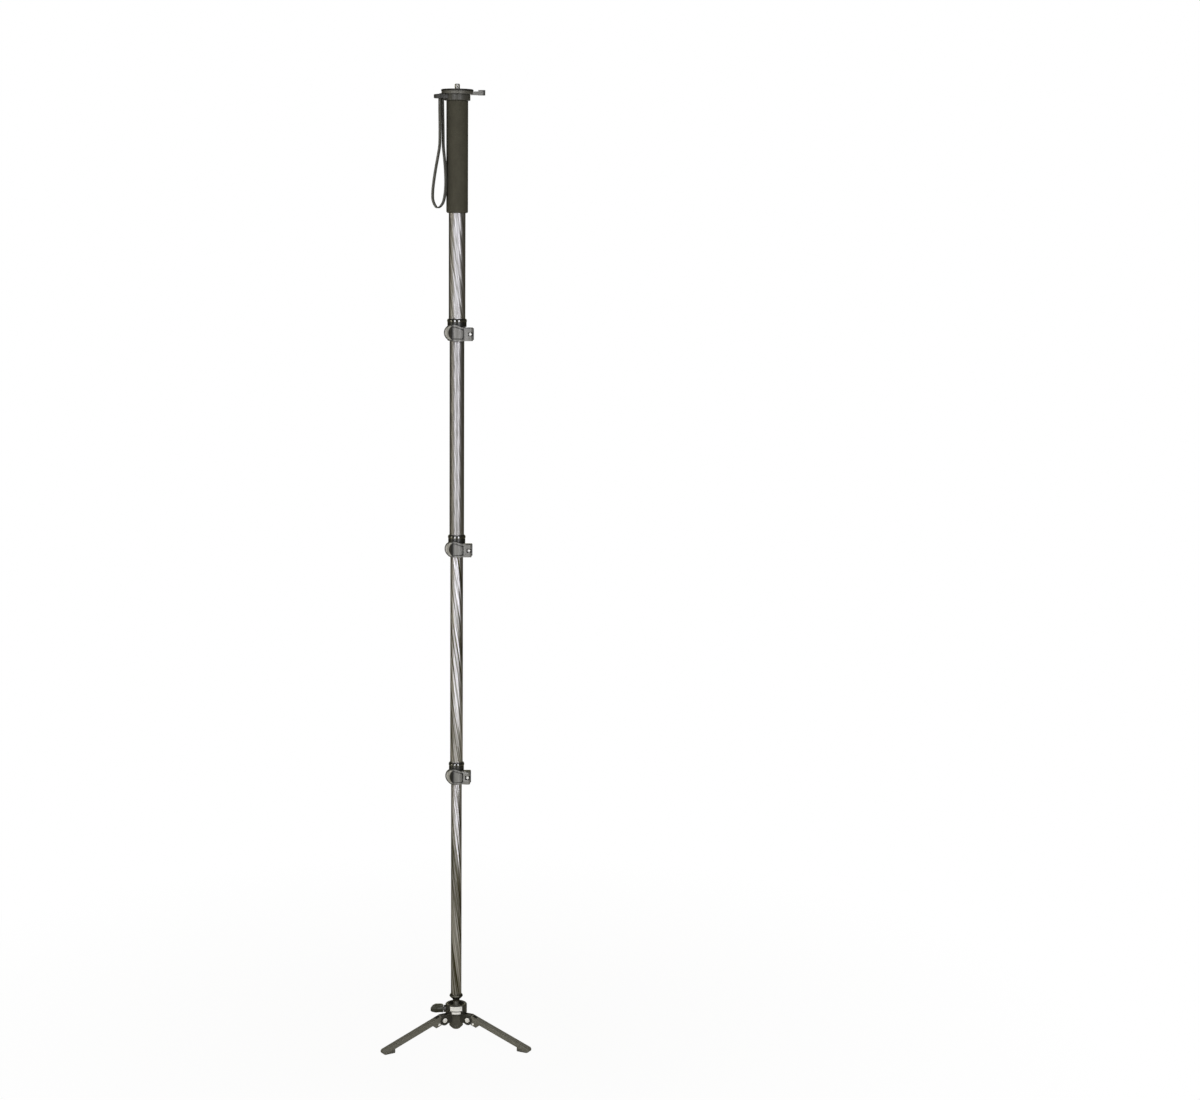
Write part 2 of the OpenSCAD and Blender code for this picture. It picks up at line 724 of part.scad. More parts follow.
module base_hub() {
    r = hub_d / 2;
    edge = 1.2;
    low_edge = 0.5;
    color(dark_metal) about_axis() difference() {
        union() {
            rotate_extrude()
                polygon([[0, cap_top_z], [boss_d / 2, cap_top_z], [boss_d / 2, hub_bottom_z],
                         [r - low_edge, hub_bottom_z], [r, hub_bottom_z + low_edge],
                         [r, hub_top_z - edge], [r - edge, hub_top_z], [0, hub_top_z]]);
            for (a = leg_azimuths, s = [-1, 1])
                rotate([0, 0, a]) translate([0, s * (cheek_from + cheek_to) / 2, 0])
                    upright(0, cheek_to - cheek_from) {
                        cheek_web();
                        translate([pivot_r, pivot_z]) circle(cheek_r);
                    }
            translate([0, 0, ball_z]) rotate([0, -90, 0])
                cylinder(d = screw_boss_d, h = screw_boss_reach);
        }
        translate([0, 0, seat_top_z]) cylinder(d = hub_bore_d, h = hub_rise + hub_drop);
        translate([0, 0, top_ring_z]) cylinder(d = top_ring_d, h = hub_rise);
        translate([0, 0, boss_z]) cylinder(r = boss_bore_r, h = hub_top_z - boss_z);
        translate([0, 0, ball_z]) rotate([0, -90, 0]) {
            cylinder(d = screw_d + 2 * run_gap, h = 2 * screw_boss_reach);
            cylinder(d = brake_d + 2 * run_gap, h = brake_back + screw_pitch + pass_gap);
        }
        for (a = leg_azimuths)
            rotate([0, 0, a]) translate([pivot_r, 0, pivot_z]) rotate([90, 0, 0])
                cylinder(d = hinge_pin_d + 2 * glue_gap, h = 4 * cheek_to, center = true);
    }
}

module hub_end_cap() {
    r = boss_d / 2;
    bevel = min(cap_bevel, cap_h - 1);
    spigot_r = boss_bore_r - glue_gap;
    top = cap_top_z - glue_gap;
    color(dark_metal) about_axis() rotate_extrude()
        polygon([[0, boss_z], [r - bevel, boss_z], [r, boss_z + bevel], [r, top],
                 [spigot_r, top], [spigot_r, spring_z], [0, spring_z]]);
}

// Ball lock: pieces lie along -X from the ball's centre

module along_lock() about_axis() translate([0, 0, ball_z]) rotate([0, -90, 0]) children();

module brake_pad() {
    color(nylon) along_lock() difference() {
        cylinder(d = brake_d, h = brake_back);
        sphere(r = seat_r);
    }
}

module knob_screw() {
    color(steel) along_lock() translate([0, 0, screw_from])
        cylinder(d = screw_d, h = knob_from + knob_len / 2 - screw_from);
}

// Outline of the knob's paddle: height from the screw's axis, distance along it
module knob_wing() {
    crest = 0.54 * knob_h;
    belly = 0.42 * knob_h;
    polygon([[-0.4 * knob_h, 0], [0.46 * knob_h, 0], [crest, 0.18 * knob_len],
             [crest, 0.62 * knob_len], [0.36 * knob_h, 0.84 * knob_len], [0.02 * knob_h, knob_len],
             [-0.2 * knob_h, knob_len], [-0.32 * knob_h, 0.88 * knob_len], [-belly, 0.58 * knob_len],
             [-0.38 * knob_h, 0.25 * knob_len]]);
}

module lock_knob() {
    boss_r = 0.72 * knob_h / 2;
    color(dark_metal) along_lock() translate([0, 0, knob_from]) difference() {
        union() {
            rotate([90, 0, 0]) linear_extrude(knob_t, center = true) knob_wing();
            cylinder(r1 = boss_r, r2 = knob_t / 2, h = 0.6 * knob_len);
        }
        translate([0, 0, -cut]) cylinder(d = screw_d + 2 * glue_gap, h = knob_len / 2 + cut + glue_gap);
    }
}

// Legs: profile of distance from the tube's axis and height

module at_hinge() translate([pivot_r, pivot_z]) rotate(-leg_slope) children();

module leg(i) {
    color(dark_metal) about_axis() difference() {
        union() {
            upright(leg_azimuths[i], leg_w) {
                at_hinge() polygon(concat([[leg_start, leg_high]],
                                          arc([0, 0], leg_arc_r, arc_from, arc_to, 12),
                                          [heel, [heel[0] + 4.5, leg_low], [leg_len, leg_low],
                                           [leg_len, leg_high]]));
                at_hinge() translate([leg_len, leg_offset]) circle(leg_t / 2);
            }
            upright(leg_azimuths[i], tongue_w) {
                at_hinge() circle(cheek_r - pass_gap);
                at_hinge() polygon([[0, heel[1] + cut], [cross_pin[0], heel[1] + cut],
                                    [cross_pin[0], leg_offset], [0, leg_offset]]);
            }
        }
        upright(leg_azimuths[i], leg_w + 2 * cut) {
            translate([pivot_r, pivot_z]) circle(hinge_pin_d / 2 + run_gap);
            at_hinge() translate(cross_pin) circle(cross_pin_d / 2 + glue_gap);
        }
        upright(leg_azimuths[i], leg_w - 2 * pocket_wall)
            at_hinge() translate([pocket_from, leg_high - pocket_depth])
                square([pocket_len, pocket_depth + cut]);
    }
}

module leg_hinge_pins() {
    color(steel) about_axis() for (a = leg_azimuths)
        rotate([0, 0, a]) translate([pivot_r, 0, pivot_z]) rotate([90, 0, 0]) {
            cylinder(d = hinge_pin_d, h = 2 * cheek_to, center = true);
            for (s = [-1, 1])
                translate([0, 0, s * (cheek_to + glue_gap + hinge_head_t / 2)])
                    cylinder(d = hinge_head_d, h = hinge_head_t, center = true);
            cylinder(d = hinge_pin_d, h = 2 * (cheek_to + hinge_head_t), center = true);
        }
}

module stop_pin(i) {
    color(steel) about_axis() upright(leg_azimuths[i], leg_w + 2 * cross_pin_proud)
        at_hinge() translate(cross_pin) circle(cross_pin_d / 2);
}

module foot_pad(i) {
    from = foot_pad_end_r - foot_pad_len;
    corner = 1.2;
    color(rubber) about_axis() difference() {
        upright(leg_azimuths[i], leg_w)
            polygon([[from + corner, 0], [foot_pad_end_r, 0], [foot_pad_end_r, tip_z],
                     [from, pivot_z], [from, corner]]);
        upright(leg_azimuths[i], leg_w + 2 * cut) {
            at_hinge() translate([0, leg_low - glue_gap]) square([leg_len, 2 * pivot_z]);
            at_hinge() translate([leg_len, leg_offset]) circle(leg_t / 2 + glue_gap);
        }
    }
}

head_stud();
head_pad();
head_platform();
head_lever_ring();
top_collar();
top_plug();
wrist_strap();
grip_sleeve();
for (n = [1 : 4])
    tube(n);
for (n = [2 : 4])
    guide_bush(n);
for (n = [1 : 3]) {
    lock_collar(n);
    lock_lever(n);
    lever_pin(n);
    clamp_bolt(n);
    clamp_nut(n);
    clamp_liner(n);
}
tube_foot();
ball_stem();
ball_seat();
seat_spring();
hub_top_ring();
base_hub();
hub_end_cap();
brake_pad();
knob_screw();
lock_knob();
for (i = [0 : 2]) {
    leg(i);
    stop_pin(i);
    foot_pad(i);
}
leg_hinge_pins();
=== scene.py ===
"""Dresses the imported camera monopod: carbon tubes, foam grip, webbing, flip locks and folding base.

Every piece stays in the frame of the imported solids, in metres, with +Z up and the front towards -Y.
"""

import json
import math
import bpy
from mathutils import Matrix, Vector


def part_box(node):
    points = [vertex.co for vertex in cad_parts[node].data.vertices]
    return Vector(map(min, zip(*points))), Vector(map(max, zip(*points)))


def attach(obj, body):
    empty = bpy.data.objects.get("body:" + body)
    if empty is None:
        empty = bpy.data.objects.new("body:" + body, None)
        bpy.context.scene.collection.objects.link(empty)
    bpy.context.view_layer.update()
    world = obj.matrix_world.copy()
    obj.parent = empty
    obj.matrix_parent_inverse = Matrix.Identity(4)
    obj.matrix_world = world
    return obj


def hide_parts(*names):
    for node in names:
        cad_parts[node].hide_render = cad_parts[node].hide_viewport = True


bl_info = {
    "name": "Camera Monopod",
    "version": (1, 0, 0),
    "blender": (4, 5, 0),
    "location": "View3D > Sidebar > Monopod",
    "description": "Finishes and fine detail for a telescoping camera monopod on a folding base",
    "category": "Object",
}

import bmesh
import bpy
from bpy.props import FloatProperty, FloatVectorProperty, IntProperty, PointerProperty
from mathutils import Matrix, Vector

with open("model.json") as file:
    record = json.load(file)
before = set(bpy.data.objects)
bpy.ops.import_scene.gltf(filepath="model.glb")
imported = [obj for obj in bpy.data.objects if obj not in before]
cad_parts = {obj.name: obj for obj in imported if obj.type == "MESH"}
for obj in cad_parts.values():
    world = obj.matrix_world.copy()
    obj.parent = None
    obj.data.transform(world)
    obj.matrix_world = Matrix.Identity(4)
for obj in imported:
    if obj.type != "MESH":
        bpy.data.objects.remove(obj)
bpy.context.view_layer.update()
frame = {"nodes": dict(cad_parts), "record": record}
MM = 0.001

NODE_BODY = {
    node: body
    for body, nodes in frame["record"]["behaviour"]["bodies"].items()
    for node in nodes
}


def middle(node):
    """Centre of a node's box."""
    low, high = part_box(node)
    return (Vector(low) + Vector(high)) / 2


ORIGIN = Vector((0.0, 0.0, 0.0))
TUBE_AXIS = Vector((middle("tube_1").x, middle("tube_1").y, 0.0))
LOCKS = (1, 2, 3)

# Sockets of the colour mix node
MIX_FACTOR, MIX_DARK, MIX_LIGHT, MIX_COLOUR = 0, 6, 7, 2

# Copies of the solids: distance within which corners are merged, angle up to which faces are one
# flat, angle from which an edge is rounded, and angle from which it is left as a crease
MERGE_DISTANCE = 2e-6
FLAT_ANGLE, ROUND_ANGLE, CREASE = math.radians(0.5), math.radians(40.0), math.radians(35.0)
# Places of a dressed piece's finishes: on its faces, on its rounded edges, and the first zone's
ON_FACES, ON_EDGES, ON_ZONES = 0, 1, 2
# Rounding of the pieces' edges, from the slightest to the legs'
THIN_EDGE, FINE_EDGE, PIN_EDGE = 0.0003, 0.0004, 0.0005
ROUND_EDGE, KNOB_EDGE, LEG_EDGE = 0.0006, 0.0007, 0.0008

# Looks of the carbon: brightness of the fibres, share of their tone in dark and in pale streaks,
# and how far the ribbons stand out; and the look of each tube, from the top
CARBON_LOOKS = {
    "soft_carbon": (1.0, (0.20, 0.58), 1.0),
    "calm_carbon": (0.9, (0.42, 0.54), 0.35),
    "bold_carbon": (1.3, (-0.60, 1.00), 1.0),
}
# The tubes' copies of the carbon stand in for how each tube is lit: the bold copy on the lower tubes paints
# whiter highlights and darker streaks, the calm copy a duller, smoother second tube
TUBE_LOOKS = {1: "soft_carbon", 2: "calm_carbon", 3: "bold_carbon", 4: "bold_carbon"}
# Carbon: tint of the lacquer's gloss, scales of streaks and fibres, their share and the ribbons' in
# the tone and in the relief, roughness of dark and pale streaks, and depth of the relief
CARBON_TINT = (0.25, 0.23, 0.13, 1.0)
STREAK_SCALE, FIBRE_SCALE = 4.5, 38.0
RIBBON_TONE, FIBRE_TONE = 0.3, 0.12
STREAK_RELIEF, FIBRE_RELIEF = 0.4, 0.05
CARBON_ROUGHNESS, CARBON_DEPTH = (0.45, 0.34), 0.0004

# Foam: scales of the pores and of the clouding, and the pores' depth
PORE_SCALE, CLOUD_SCALE, PORE_DEPTH = 900.0, 60.0, 0.0004

# Moulded and painted finishes: colour and the share of it that is used, roughness, scale and depth
# of the grain, and where there is a clear coat, its weight and gloss
MOULDED = {
    "black_shell": ("shell", 1.0, 0.36, 1500.0, 0.00006, 0.15),
    "black_shell_bead": ("shell", 1.0, 0.15, 1500.0, 0.00001, 1.0, 2.5),
    "dark_casting": ("casting", 1.0, 0.5, 1100.0, 0.00012),
    # Painted shade on the legs' rounded edges
    "dark_casting_edge": ("casting", 0.2, 0.42, 1100.0, 0.0001),
    "hub_paint": ("casting", 0.2, 0.3, 1100.0, 0.0001),
    # Painted highlight on the hub's rounded edges and the dished ring's top
    "hub_worn_edge": ("casting", 1.9, 0.3, 1100.0, 0.00006),
    "foot_rubber": ("casting", 0.6, 0.8, 1400.0, 0.0003),
    # Painted shade on the hinge cheeks under the hub and in the legs' pockets; the strap lug takes the same
    # dark tone
    "cheek_paint": ("casting", 0.17, 0.45, 1100.0, 0.0001),
    "boss_paint": ("casting", 0.42, 0.34, 1100.0, 0.00008, 0.4),
    "dish_paint": ("casting", 0.07, 0.5, 1100.0, 0.00006),
    "collar_paint": ("casting", 0.36, 0.4, 1100.0, 0.00006),
    # Painted shade on the round end of the lever ring's arm
    "arm_end": ("lever", 0.2, 0.45, 900.0, 0.0001),
    "knob_plastic": ("knob", 1.0, 0.32, 900.0, 0.0001),
    "black_rubber": ((0.022, 0.022, 0.020), 1.0, 0.78, 1400.0, 0.0002),
    "pale_nylon": ((0.55, 0.53, 0.46), 1.0, 0.5, 700.0, 0.0001),
    "strap_thread": ((0.13, 0.125, 0.10), 1.0, 0.7, 3000.0, 0.0001),
    "bare_plate": ("plate", 1.0, 0.35, 800.0, 0.00004),
}
# Metals and metallic paints: colour and the share of it, metallic share, roughness, scale of the wear
METALS = {
    "ring_paint": ("casting", 0.75, 0.25, 0.42, 220.0),
    "arm_paint": ("lever", 1.0, 0.25, 0.42, 220.0),
    # Painted shade on the floor of the groove round a lever's panel
    "satin_grey_groove": ("lever", 0.2, 0.2, 0.5, 220.0),
    "black_anodised": ("shell", 2.0, 0.2, 0.38, 300.0),
    "foot_cup_metal": ((0.115, 0.112, 0.090), 1.0, 1.0, 0.42, 300.0),
    "bright_steel": ((0.95, 0.95, 0.94), 1.0, 0.15, 0.3, 500.0),
    "polished_steel": ("steel", 1.0, 1.0, 0.16, 500.0),
    "dark_steel": ("casting", 0.8, 0.5, 0.4, 400.0),
}
# Grain of the metals' bump as a multiple of their wear's scale, and the bump's strength and depth
METAL_GRAIN, METAL_BUMP, METAL_DEPTH = 6.0, 0.12, 0.0001

# The levers' sunk faces: height of lever and knuckle, rim round the face, depth and wall,
# and the two places across the face between which the upper edge falls
LEVER_HEIGHT, KNUCKLE_HEIGHT = 0.0280, 0.0234
LEVER_RIM, LEVER_SUNK, LEVER_WALL = 0.0030, 0.0007, 0.0034
LEVER_FALL = (-0.0050, 0.0120)
# The panel in a sunk face: groove round it, whose floor is darkened with painted shade, its corners,
# how far its front stays behind the lever's and the groove's floor rises over the sunk face; depth,
# least height and steps across of both
GROOVE_WIDTH, PANEL_CORNER = 0.0016, 0.0030
PANEL_BACK, GROOVE_RISE, INLAY_DEPTH, INLAY_LEAST = 0.00005, 0.00004, 0.0004, 0.0005
INLAY_STEPS = 20
# Half the width in which a lever's face is looked for
FACE_HALF = 0.006
# A lever's round end: its radius, how far in from its edge the painted shade on the rim turns into
# the painted highlight on the lip, the circle (middle and radius) within which the lip turns into the
# painted shade of the valley behind it, over what breadth, and how far from the end the valley turns
# into the flat face
LOBE_RADIUS = 0.0140
RIM_TO_LIP, VALLEY_TO_FACE = (0.0013, 0.0024), (0.0140, 0.0190)
VALLEY_MIDDLE, VALLEY_RADIUS, VALLEY_SOFT = 0.0230, 0.0165, 0.0022
# Shares of the lip's painted highlight on the rim and in the valley, which are painted shade, and on
# the face; the knuckle's upper edge, which gets painted shade, and how dark it is; and the scales of
# the levers' wear and grain
RIM_SHADE, VALLEY_SHADE, FACE_TONE = 0.1, 0.0, 0.42
KNUCKLE_FROM, KNUCKLE_EDGE, KNUCKLE_SHADE = (0.0365, 0.0380), (0.0218, 0.0226), 0.9
LEVER_WEAR, LEVER_GRAIN = 220.0, 1300.0

# Bead round a collar's upper end: rise from the wall, radius of its face, half its height,
# its middle's distance below the collar's top, and the steps over its face and round the collar
BEAD_RISE, BEAD_CURVE, BEAD_HALF, BEAD_DROP = 0.00065, 0.0042, 0.00225, 0.0034
BEAD_STEPS, BEAD_TURN = 12, 96

# Clamp bolts: radius and length of the thread, its bead as a share of the pitch, end chamfer, angles
# from the eye's front over its round, where the shank leaves it, and the steps round it
BOLT_RADIUS, BOLT_THREAD, BOLT_BEAD, BOLT_CHAMFER = 0.0025, 0.0060, 0.4, 0.0005
EYE_ANGLES, EYE_NECK, EYE_TURN = (8, 20, 35, 50, 65, 80, 95, 110, 122), 0.85, 40
# Head stud: the thread's bead as a share of the pitch, and the end chamfer
STUD_BEAD, STUD_CHAMFER = 0.45, 0.0008
# Threads: steps in a turn and sides of the bead
THREAD_STEPS, THREAD_SIDES = 28, 6

# Height of the hub's underside, below which lie the boss and the hinge cheeks with their painted
# shade, the boss's radius, and how far down from its top the dished ring carries a painted highlight
HUB_UNDERSIDE, BOSS_RADIUS, RIM_HIGHLIGHT = 0.0500, 0.0135, 0.0002
# Bare plate on the hub: drop below the dished ring's top, height and width of its bands, radius, how
# far it is sunk and stands proud, rounding of its edges, and steps across
PLATE_BANDS = ((0.0002, 0.0086, 0.0215), (0.0102, 0.0040, 0.0158))
PLATE_RADIUS, PLATE_SUNK, PLATE_PROUD, PLATE_EDGE = 0.0195, 0.0003, 0.00025, 0.00012
PLATE_STEPS = 16

# Legs: directions round the tubes, hinge's distance and height, slope and height of the upper face,
# and the pocket by the hinge, which gets painted shade: its run along the leg, half its width, and its
# depths
LEG_AZIMUTHS = {"left": 210.0, "right": 330.0, "rear": 90.0}
HINGE_RADIUS, HINGE_HEIGHT = 0.0265, 0.0405
LEG_SLOPE, LEG_TOP = math.radians(19.5), 0.01135
POCKET_RUN, POCKET_HALF, POCKET_DEPTHS = (0.0060, 0.0152), 0.0041, (0.0004, 0.0036)

# Distance at which the strap lug leaves its collar, and length of the painted shade on the lever arm's end
LUG_FROM, ARM_END_SHADE = 0.0232, 0.0040

# Direction of the strap lug round the tubes, and the webbing's route in that upright plane:
# distance from the tubes' axis and height over the top collar's underside, in millimetres
STRAP_AZIMUTH = math.radians(205.0)
STRAP_OUT = Vector((math.cos(STRAP_AZIMUTH), math.sin(STRAP_AZIMUTH), 0.0))
STRAP_SIDE = Vector((-math.sin(STRAP_AZIMUTH), math.cos(STRAP_AZIMUTH), 0.0))
STRAP_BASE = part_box("top_collar")[0][2]
STRAP_BAR = (30.4, 8.3)
STRAP_TURN, STRAP_TURN_ANGLES = 2.5, (180, 150, 120, 90, 60, 30, 0)
STRAP_ROUTE = (
    (33.0, -16.0), (32.7, -36.0), (32.6, -56.0), (33.2, -76.0), (36.6, -96.0), (40.6, -116.0),
    (44.0, -136.0), (46.2, -155.0), (45.4, -171.0), (37.6, -182.5), (27.6, -175.0), (23.0, -158.0),
    (21.7, -138.0), (22.4, -118.0), (24.2, -98.0), (26.2, -78.0), (26.6, -58.0), (26.9, -38.0),
    (27.3, -18.0),
)
# Steps between two points of the route, the tape's corners as a share of half its thickness, angle
# of its creases, its yarns across and its rows in a length of one width
ROUTE_STEPS, TAPE_CORNER, TAPE_CREASE = 6, 0.6, math.radians(50.0)
YARNS_ACROSS, ROWS_ALONG = 9.0, 8.0
# The strap's sewn lap: heights between which it is stitched, the rows across the tape, a stitch's
# width, the spacing as a share of its length, and its sides and rings
LAP_FROM, LAP_TO = -14.0, -74.0
STITCH_ROWS = (-0.0036, -0.0012, 0.0012, 0.0036)
STITCH_WIDTH, STITCH_SPACING, STITCH_SIDES, STITCH_RINGS = 0.0007, 1.4, 6, 5

# Floor: half its width, colour, share of white that is seen on it near and far, and how far that is
FLOOR_REACH, FLOOR_COLOUR = 40.0, (0.50, 0.48, 0.38, 1.0)
FLOOR_WHITE, FLOOR_FADE = (0.96, 1.0), (0.25, 1.2)
# Surroundings: how far to the back the bright strip begins and is full, the tone beside it, and the
# strength and tint of the fill
STRIP, STRIP_DIM = (0.9, 0.995), 0.07
FILL, FILL_TINT, WHITE = 0.16, (1.0, 0.95, 0.64), (1.0, 1.0, 1.0)
# Softboxes: place, width and height, power, colour, and whether glossy surfaces mirror them
SOFTBOXES = {
    "left_softbox": ((-0.54, -1.2, 1.23), (0.375, 2.44), 11.8, (0.97, 0.97, 1.0), True),
    "right_softbox": ((0.54, -1.2, 1.23), (0.375, 2.44), 11.8, (0.97, 0.97, 1.0), True),
    "side_softbox": ((-1.75, -0.55, 1.25), (0.3, 2.4), 5.0, (1.0, 0.94, 0.74), True),
    "back_softbox": ((0.9, 2.0, 1.25), (1.2, 2.0), 18.0, WHITE, False),
}
# Width of the camera's sensor, in millimetres
SENSOR_WIDTH = 36.0


class MonopodFinishes(bpy.types.PropertyGroup):
    """Colours of the monopod's finishes."""

    carbon: FloatVectorProperty(
        name="Carbon", description="Bright fibres of the tubes", subtype="COLOR",
        default=(0.640, 0.630, 0.668))
    carbon_dark: FloatVectorProperty(
        name="Dark carbon", description="Resin between the tubes' bright fibres", subtype="COLOR",
        default=(0.075, 0.069, 0.034))
    foam: FloatVectorProperty(
        name="Foam", description="Closed-cell foam of the grip", subtype="COLOR",
        default=(0.052, 0.049, 0.036))
    shell: FloatVectorProperty(
        name="Black shell", description="Glossy collars of the locks and the head", subtype="COLOR",
        default=(0.008, 0.008, 0.007))
    lever: FloatVectorProperty(
        name="Satin grey", description="Lock levers and the lever ring's arm", subtype="COLOR",
        default=(0.200, 0.198, 0.192))
    casting: FloatVectorProperty(
        name="Dark casting", description="Hub and legs", subtype="COLOR",
        default=(0.150, 0.146, 0.126))
    knob: FloatVectorProperty(
        name="Knob", description="Moulded knob of the ball lock", subtype="COLOR",
        default=(0.038, 0.039, 0.027))
    steel: FloatVectorProperty(
        name="Polished steel", description="Nuts, lever pins and stud", subtype="COLOR",
        default=(0.80, 0.80, 0.78))
    webbing: FloatVectorProperty(
        name="Webbing", description="Woven wrist strap", subtype="COLOR",
        default=(0.062, 0.060, 0.044))
    plate: FloatVectorProperty(
        name="Plate", description="Bare plate on the hub", subtype="COLOR",
        default=(0.90, 0.89, 0.87))


class MonopodSizes(bpy.types.PropertyGroup):
    """Sizes of the detail that the solids leave out."""

    ribbons: IntProperty(
        name="Ribbons", description="Ribbons of carbon fibre wound side by side round a tube", default=10)
    lay: FloatProperty(
        name="Lay", description="Turn of the winding over one metre of tube", subtype="ANGLE", default=15.0)
    webbing_width: FloatProperty(
        name="Webbing width", description="Width of the wrist strap", unit="LENGTH", default=0.0100)
    webbing_thickness: FloatProperty(
        name="Webbing thickness", description="Thickness of the wrist strap", unit="LENGTH", default=0.0016)
    stitch: FloatProperty(
        name="Stitch", description="Length of one stitch in the strap", unit="LENGTH", default=0.0022)
    stud_pitch: FloatProperty(
        name="Stud pitch", description="Pitch of the head stud's thread", unit="LENGTH", default=0.0015875)
    bolt_pitch: FloatProperty(
        name="Bolt pitch", description="Pitch of the clamp bolts' thread", unit="LENGTH", default=0.0008)
    soft_edge: FloatProperty(
        name="Soft edge", description="Rounding of the edges of hub and collars", unit="LENGTH",
        default=0.0005)


class MonopodStage(bpy.types.PropertyGroup):
    """Viewpoint."""

    distance: FloatProperty(
        name="Distance", description="Camera's distance from the tubes' axis", unit="LENGTH", default=3.9)
    height: FloatProperty(
        name="Height", description="Camera's height over the floor", unit="LENGTH", default=1.4659)
    pitch: FloatProperty(
        name="Pitch", description="Angle that the camera looks down", subtype="ANGLE",
        default=math.radians(8.221))
    yaw: FloatProperty(
        name="Yaw", description="Angle that the camera looks to the right", subtype="ANGLE",
        default=math.radians(3.724))
    roll: FloatProperty(
        name="Roll", description="Turn of the camera about its own line of sight", subtype="ANGLE",
        default=math.radians(-0.605))
    lens: FloatProperty(
        name="Lens", description="Focal length on a 36 mm wide sensor, in millimetres", default=66.72)


class Graph:
    """A node tree under construction."""

    def __init__(self, tree):
        self.nodes = tree.nodes
        self.links = tree.links

    def node(self, kind, inputs=(), **settings):
        """Adds a node, sets its fields and fills its inputs with numbers or links."""
        node = self.nodes.new(kind)
        for field, value in settings.items():
            setattr(node, field, value)
        pairs = inputs.items() if isinstance(inputs, dict) else enumerate(inputs)
        for key, value in pairs:
            if isinstance(value, bpy.types.NodeSocket):
                self.links.new(value, node.inputs[key])
            else:
                node.inputs[key].default_value = value
        return node

    def math(self, operation, *inputs):
        return self.node("ShaderNodeMath", inputs, operation=operation).outputs[0]

    def chain(self, operation, first, *others):
        """One operation over any number of values, two by two."""
        for other in others:
            first = self.math(operation, first, other)
        return first

    def add(self, *values):
        return self.chain("ADD", *values)

    def times(self, *values):
        return self.chain("MULTIPLY", *values)

    def most(self, *values):
        return self.chain("MAXIMUM", *values)

    def minus(self, value, less):
        return self.math("SUBTRACT", value, less)

    def split(self, vector):
        return self.node("ShaderNodeSeparateXYZ", [vector]).outputs

    def join(self, *parts):
        return self.node("ShaderNodeCombineXYZ", parts).outputs[0]

    def length(self, vector):
        return self.node("ShaderNodeVectorMath", [vector], operation="LENGTH").outputs["Value"]

    def spread(self, value, low, high, start=0.0, end=1.0):
        """Value from start to end laid out between low and high."""
        return self.node("ShaderNodeMapRange", {
            "Value": value, "From Min": start, "From Max": end, "To Min": low, "To Max": high}).outputs[0]

    def between(self, factor, low, high):
        """Colour between two others by a factor from 0 to 1."""
        mix = self.node("ShaderNodeMix", {MIX_FACTOR: factor, MIX_DARK: [*low, 1.0],
                                          MIX_LIGHT: [*high, 1.0]}, data_type="RGBA")
        return mix.outputs[MIX_COLOUR]


class Finish(Graph):
    """A procedural material under construction."""

    def __init__(self, name, **values):
        self.material = bpy.data.materials.new(name)
        self.material.use_nodes = True
        super().__init__(self.material.node_tree)
        self.shader = self.nodes["Principled BSDF"]
        for socket, value in values.items():
            label = socket.replace("_", " ").title().replace("Ior", "IOR")
            self.shader.inputs[label].default_value = value

    def place(self, shift=ORIGIN):
        """Object coordinates, moved."""
        coords = self.node("ShaderNodeTexCoord").outputs["Object"]
        return self.node("ShaderNodeMapping", {"Vector": coords, "Location": shift}).outputs[0]

    def noise(self, vector, scale, detail=3.0, roughness=0.5):
        return self.node("ShaderNodeTexNoise", {
            "Vector": vector, "Scale": scale, "Detail": detail, "Roughness": roughness}).outputs[0]

    def ridges(self, value):
        """Rounded ridges, one to each whole number of a value."""
        return self.math("SINE", self.times(self.math("FRACT", value), math.pi))

    def shade(self, colour, factor, dark, light):
        """One colour made darker and lighter by a factor from 0 to 1."""
        return self.between(factor, [c * dark for c in colour], [min(1.0, c * light) for c in colour])

    def feed(self, socket, value):
        self.links.new(value, self.shader.inputs[socket])

    def bump(self, height, strength, distance):
        bump = self.node("ShaderNodeBump", {"Height": height, "Strength": strength, "Distance": distance})
        self.feed("Normal", bump.outputs[0])


def colour_of(source, share=1.0):
    """A share of one of the user's colours, by its name, or of a colour of the finish's own."""
    named = isinstance(source, str)
    colour = getattr(bpy.context.scene.monopod_finishes, source) if named else source
    return [c * share for c in colour]


def carbon_finish(name, brightness, streaks, relief):
    """Lacquered carbon: ribbons of fibre wound steeply round the tubes' axis."""
    sizes = bpy.context.scene.monopod_sizes
    finish = Finish(name, metallic=1.0, specular_tint=CARBON_TINT)
    at = finish.split(finish.place(-TUBE_AXIS))
    turn = finish.math("ARCTAN2", at["Y"], at["X"])
    wind = finish.add(turn, finish.times(at["Z"], sizes.lay))
    wound = finish.join(finish.math("COSINE", wind), finish.math("SINE", wind), at["Z"])
    streak = finish.spread(finish.noise(wound, STREAK_SCALE, 3.0, 0.6), 0.0, 1.0, 0.34, 0.66)
    fibres = finish.spread(finish.noise(wound, FIBRE_SCALE, 2.0), 0.0, 1.0, 0.3, 0.7)
    ribbon = finish.ridges(finish.times(wind, sizes.ribbons / (2 * math.pi)))
    tone = finish.add(finish.spread(streak, *streaks), finish.times(ribbon, RIBBON_TONE * relief),
                      finish.times(fibres, FIBRE_TONE))
    finish.feed("Base Color", finish.between(tone, colour_of("carbon_dark"),
                                             colour_of("carbon", brightness)))
    finish.feed("Roughness", finish.spread(streak, *CARBON_ROUGHNESS))
    height = finish.add(ribbon, finish.times(streak, STREAK_RELIEF), finish.times(fibres, FIBRE_RELIEF))
    finish.bump(height, 1.0, CARBON_DEPTH * relief)
    return finish.material


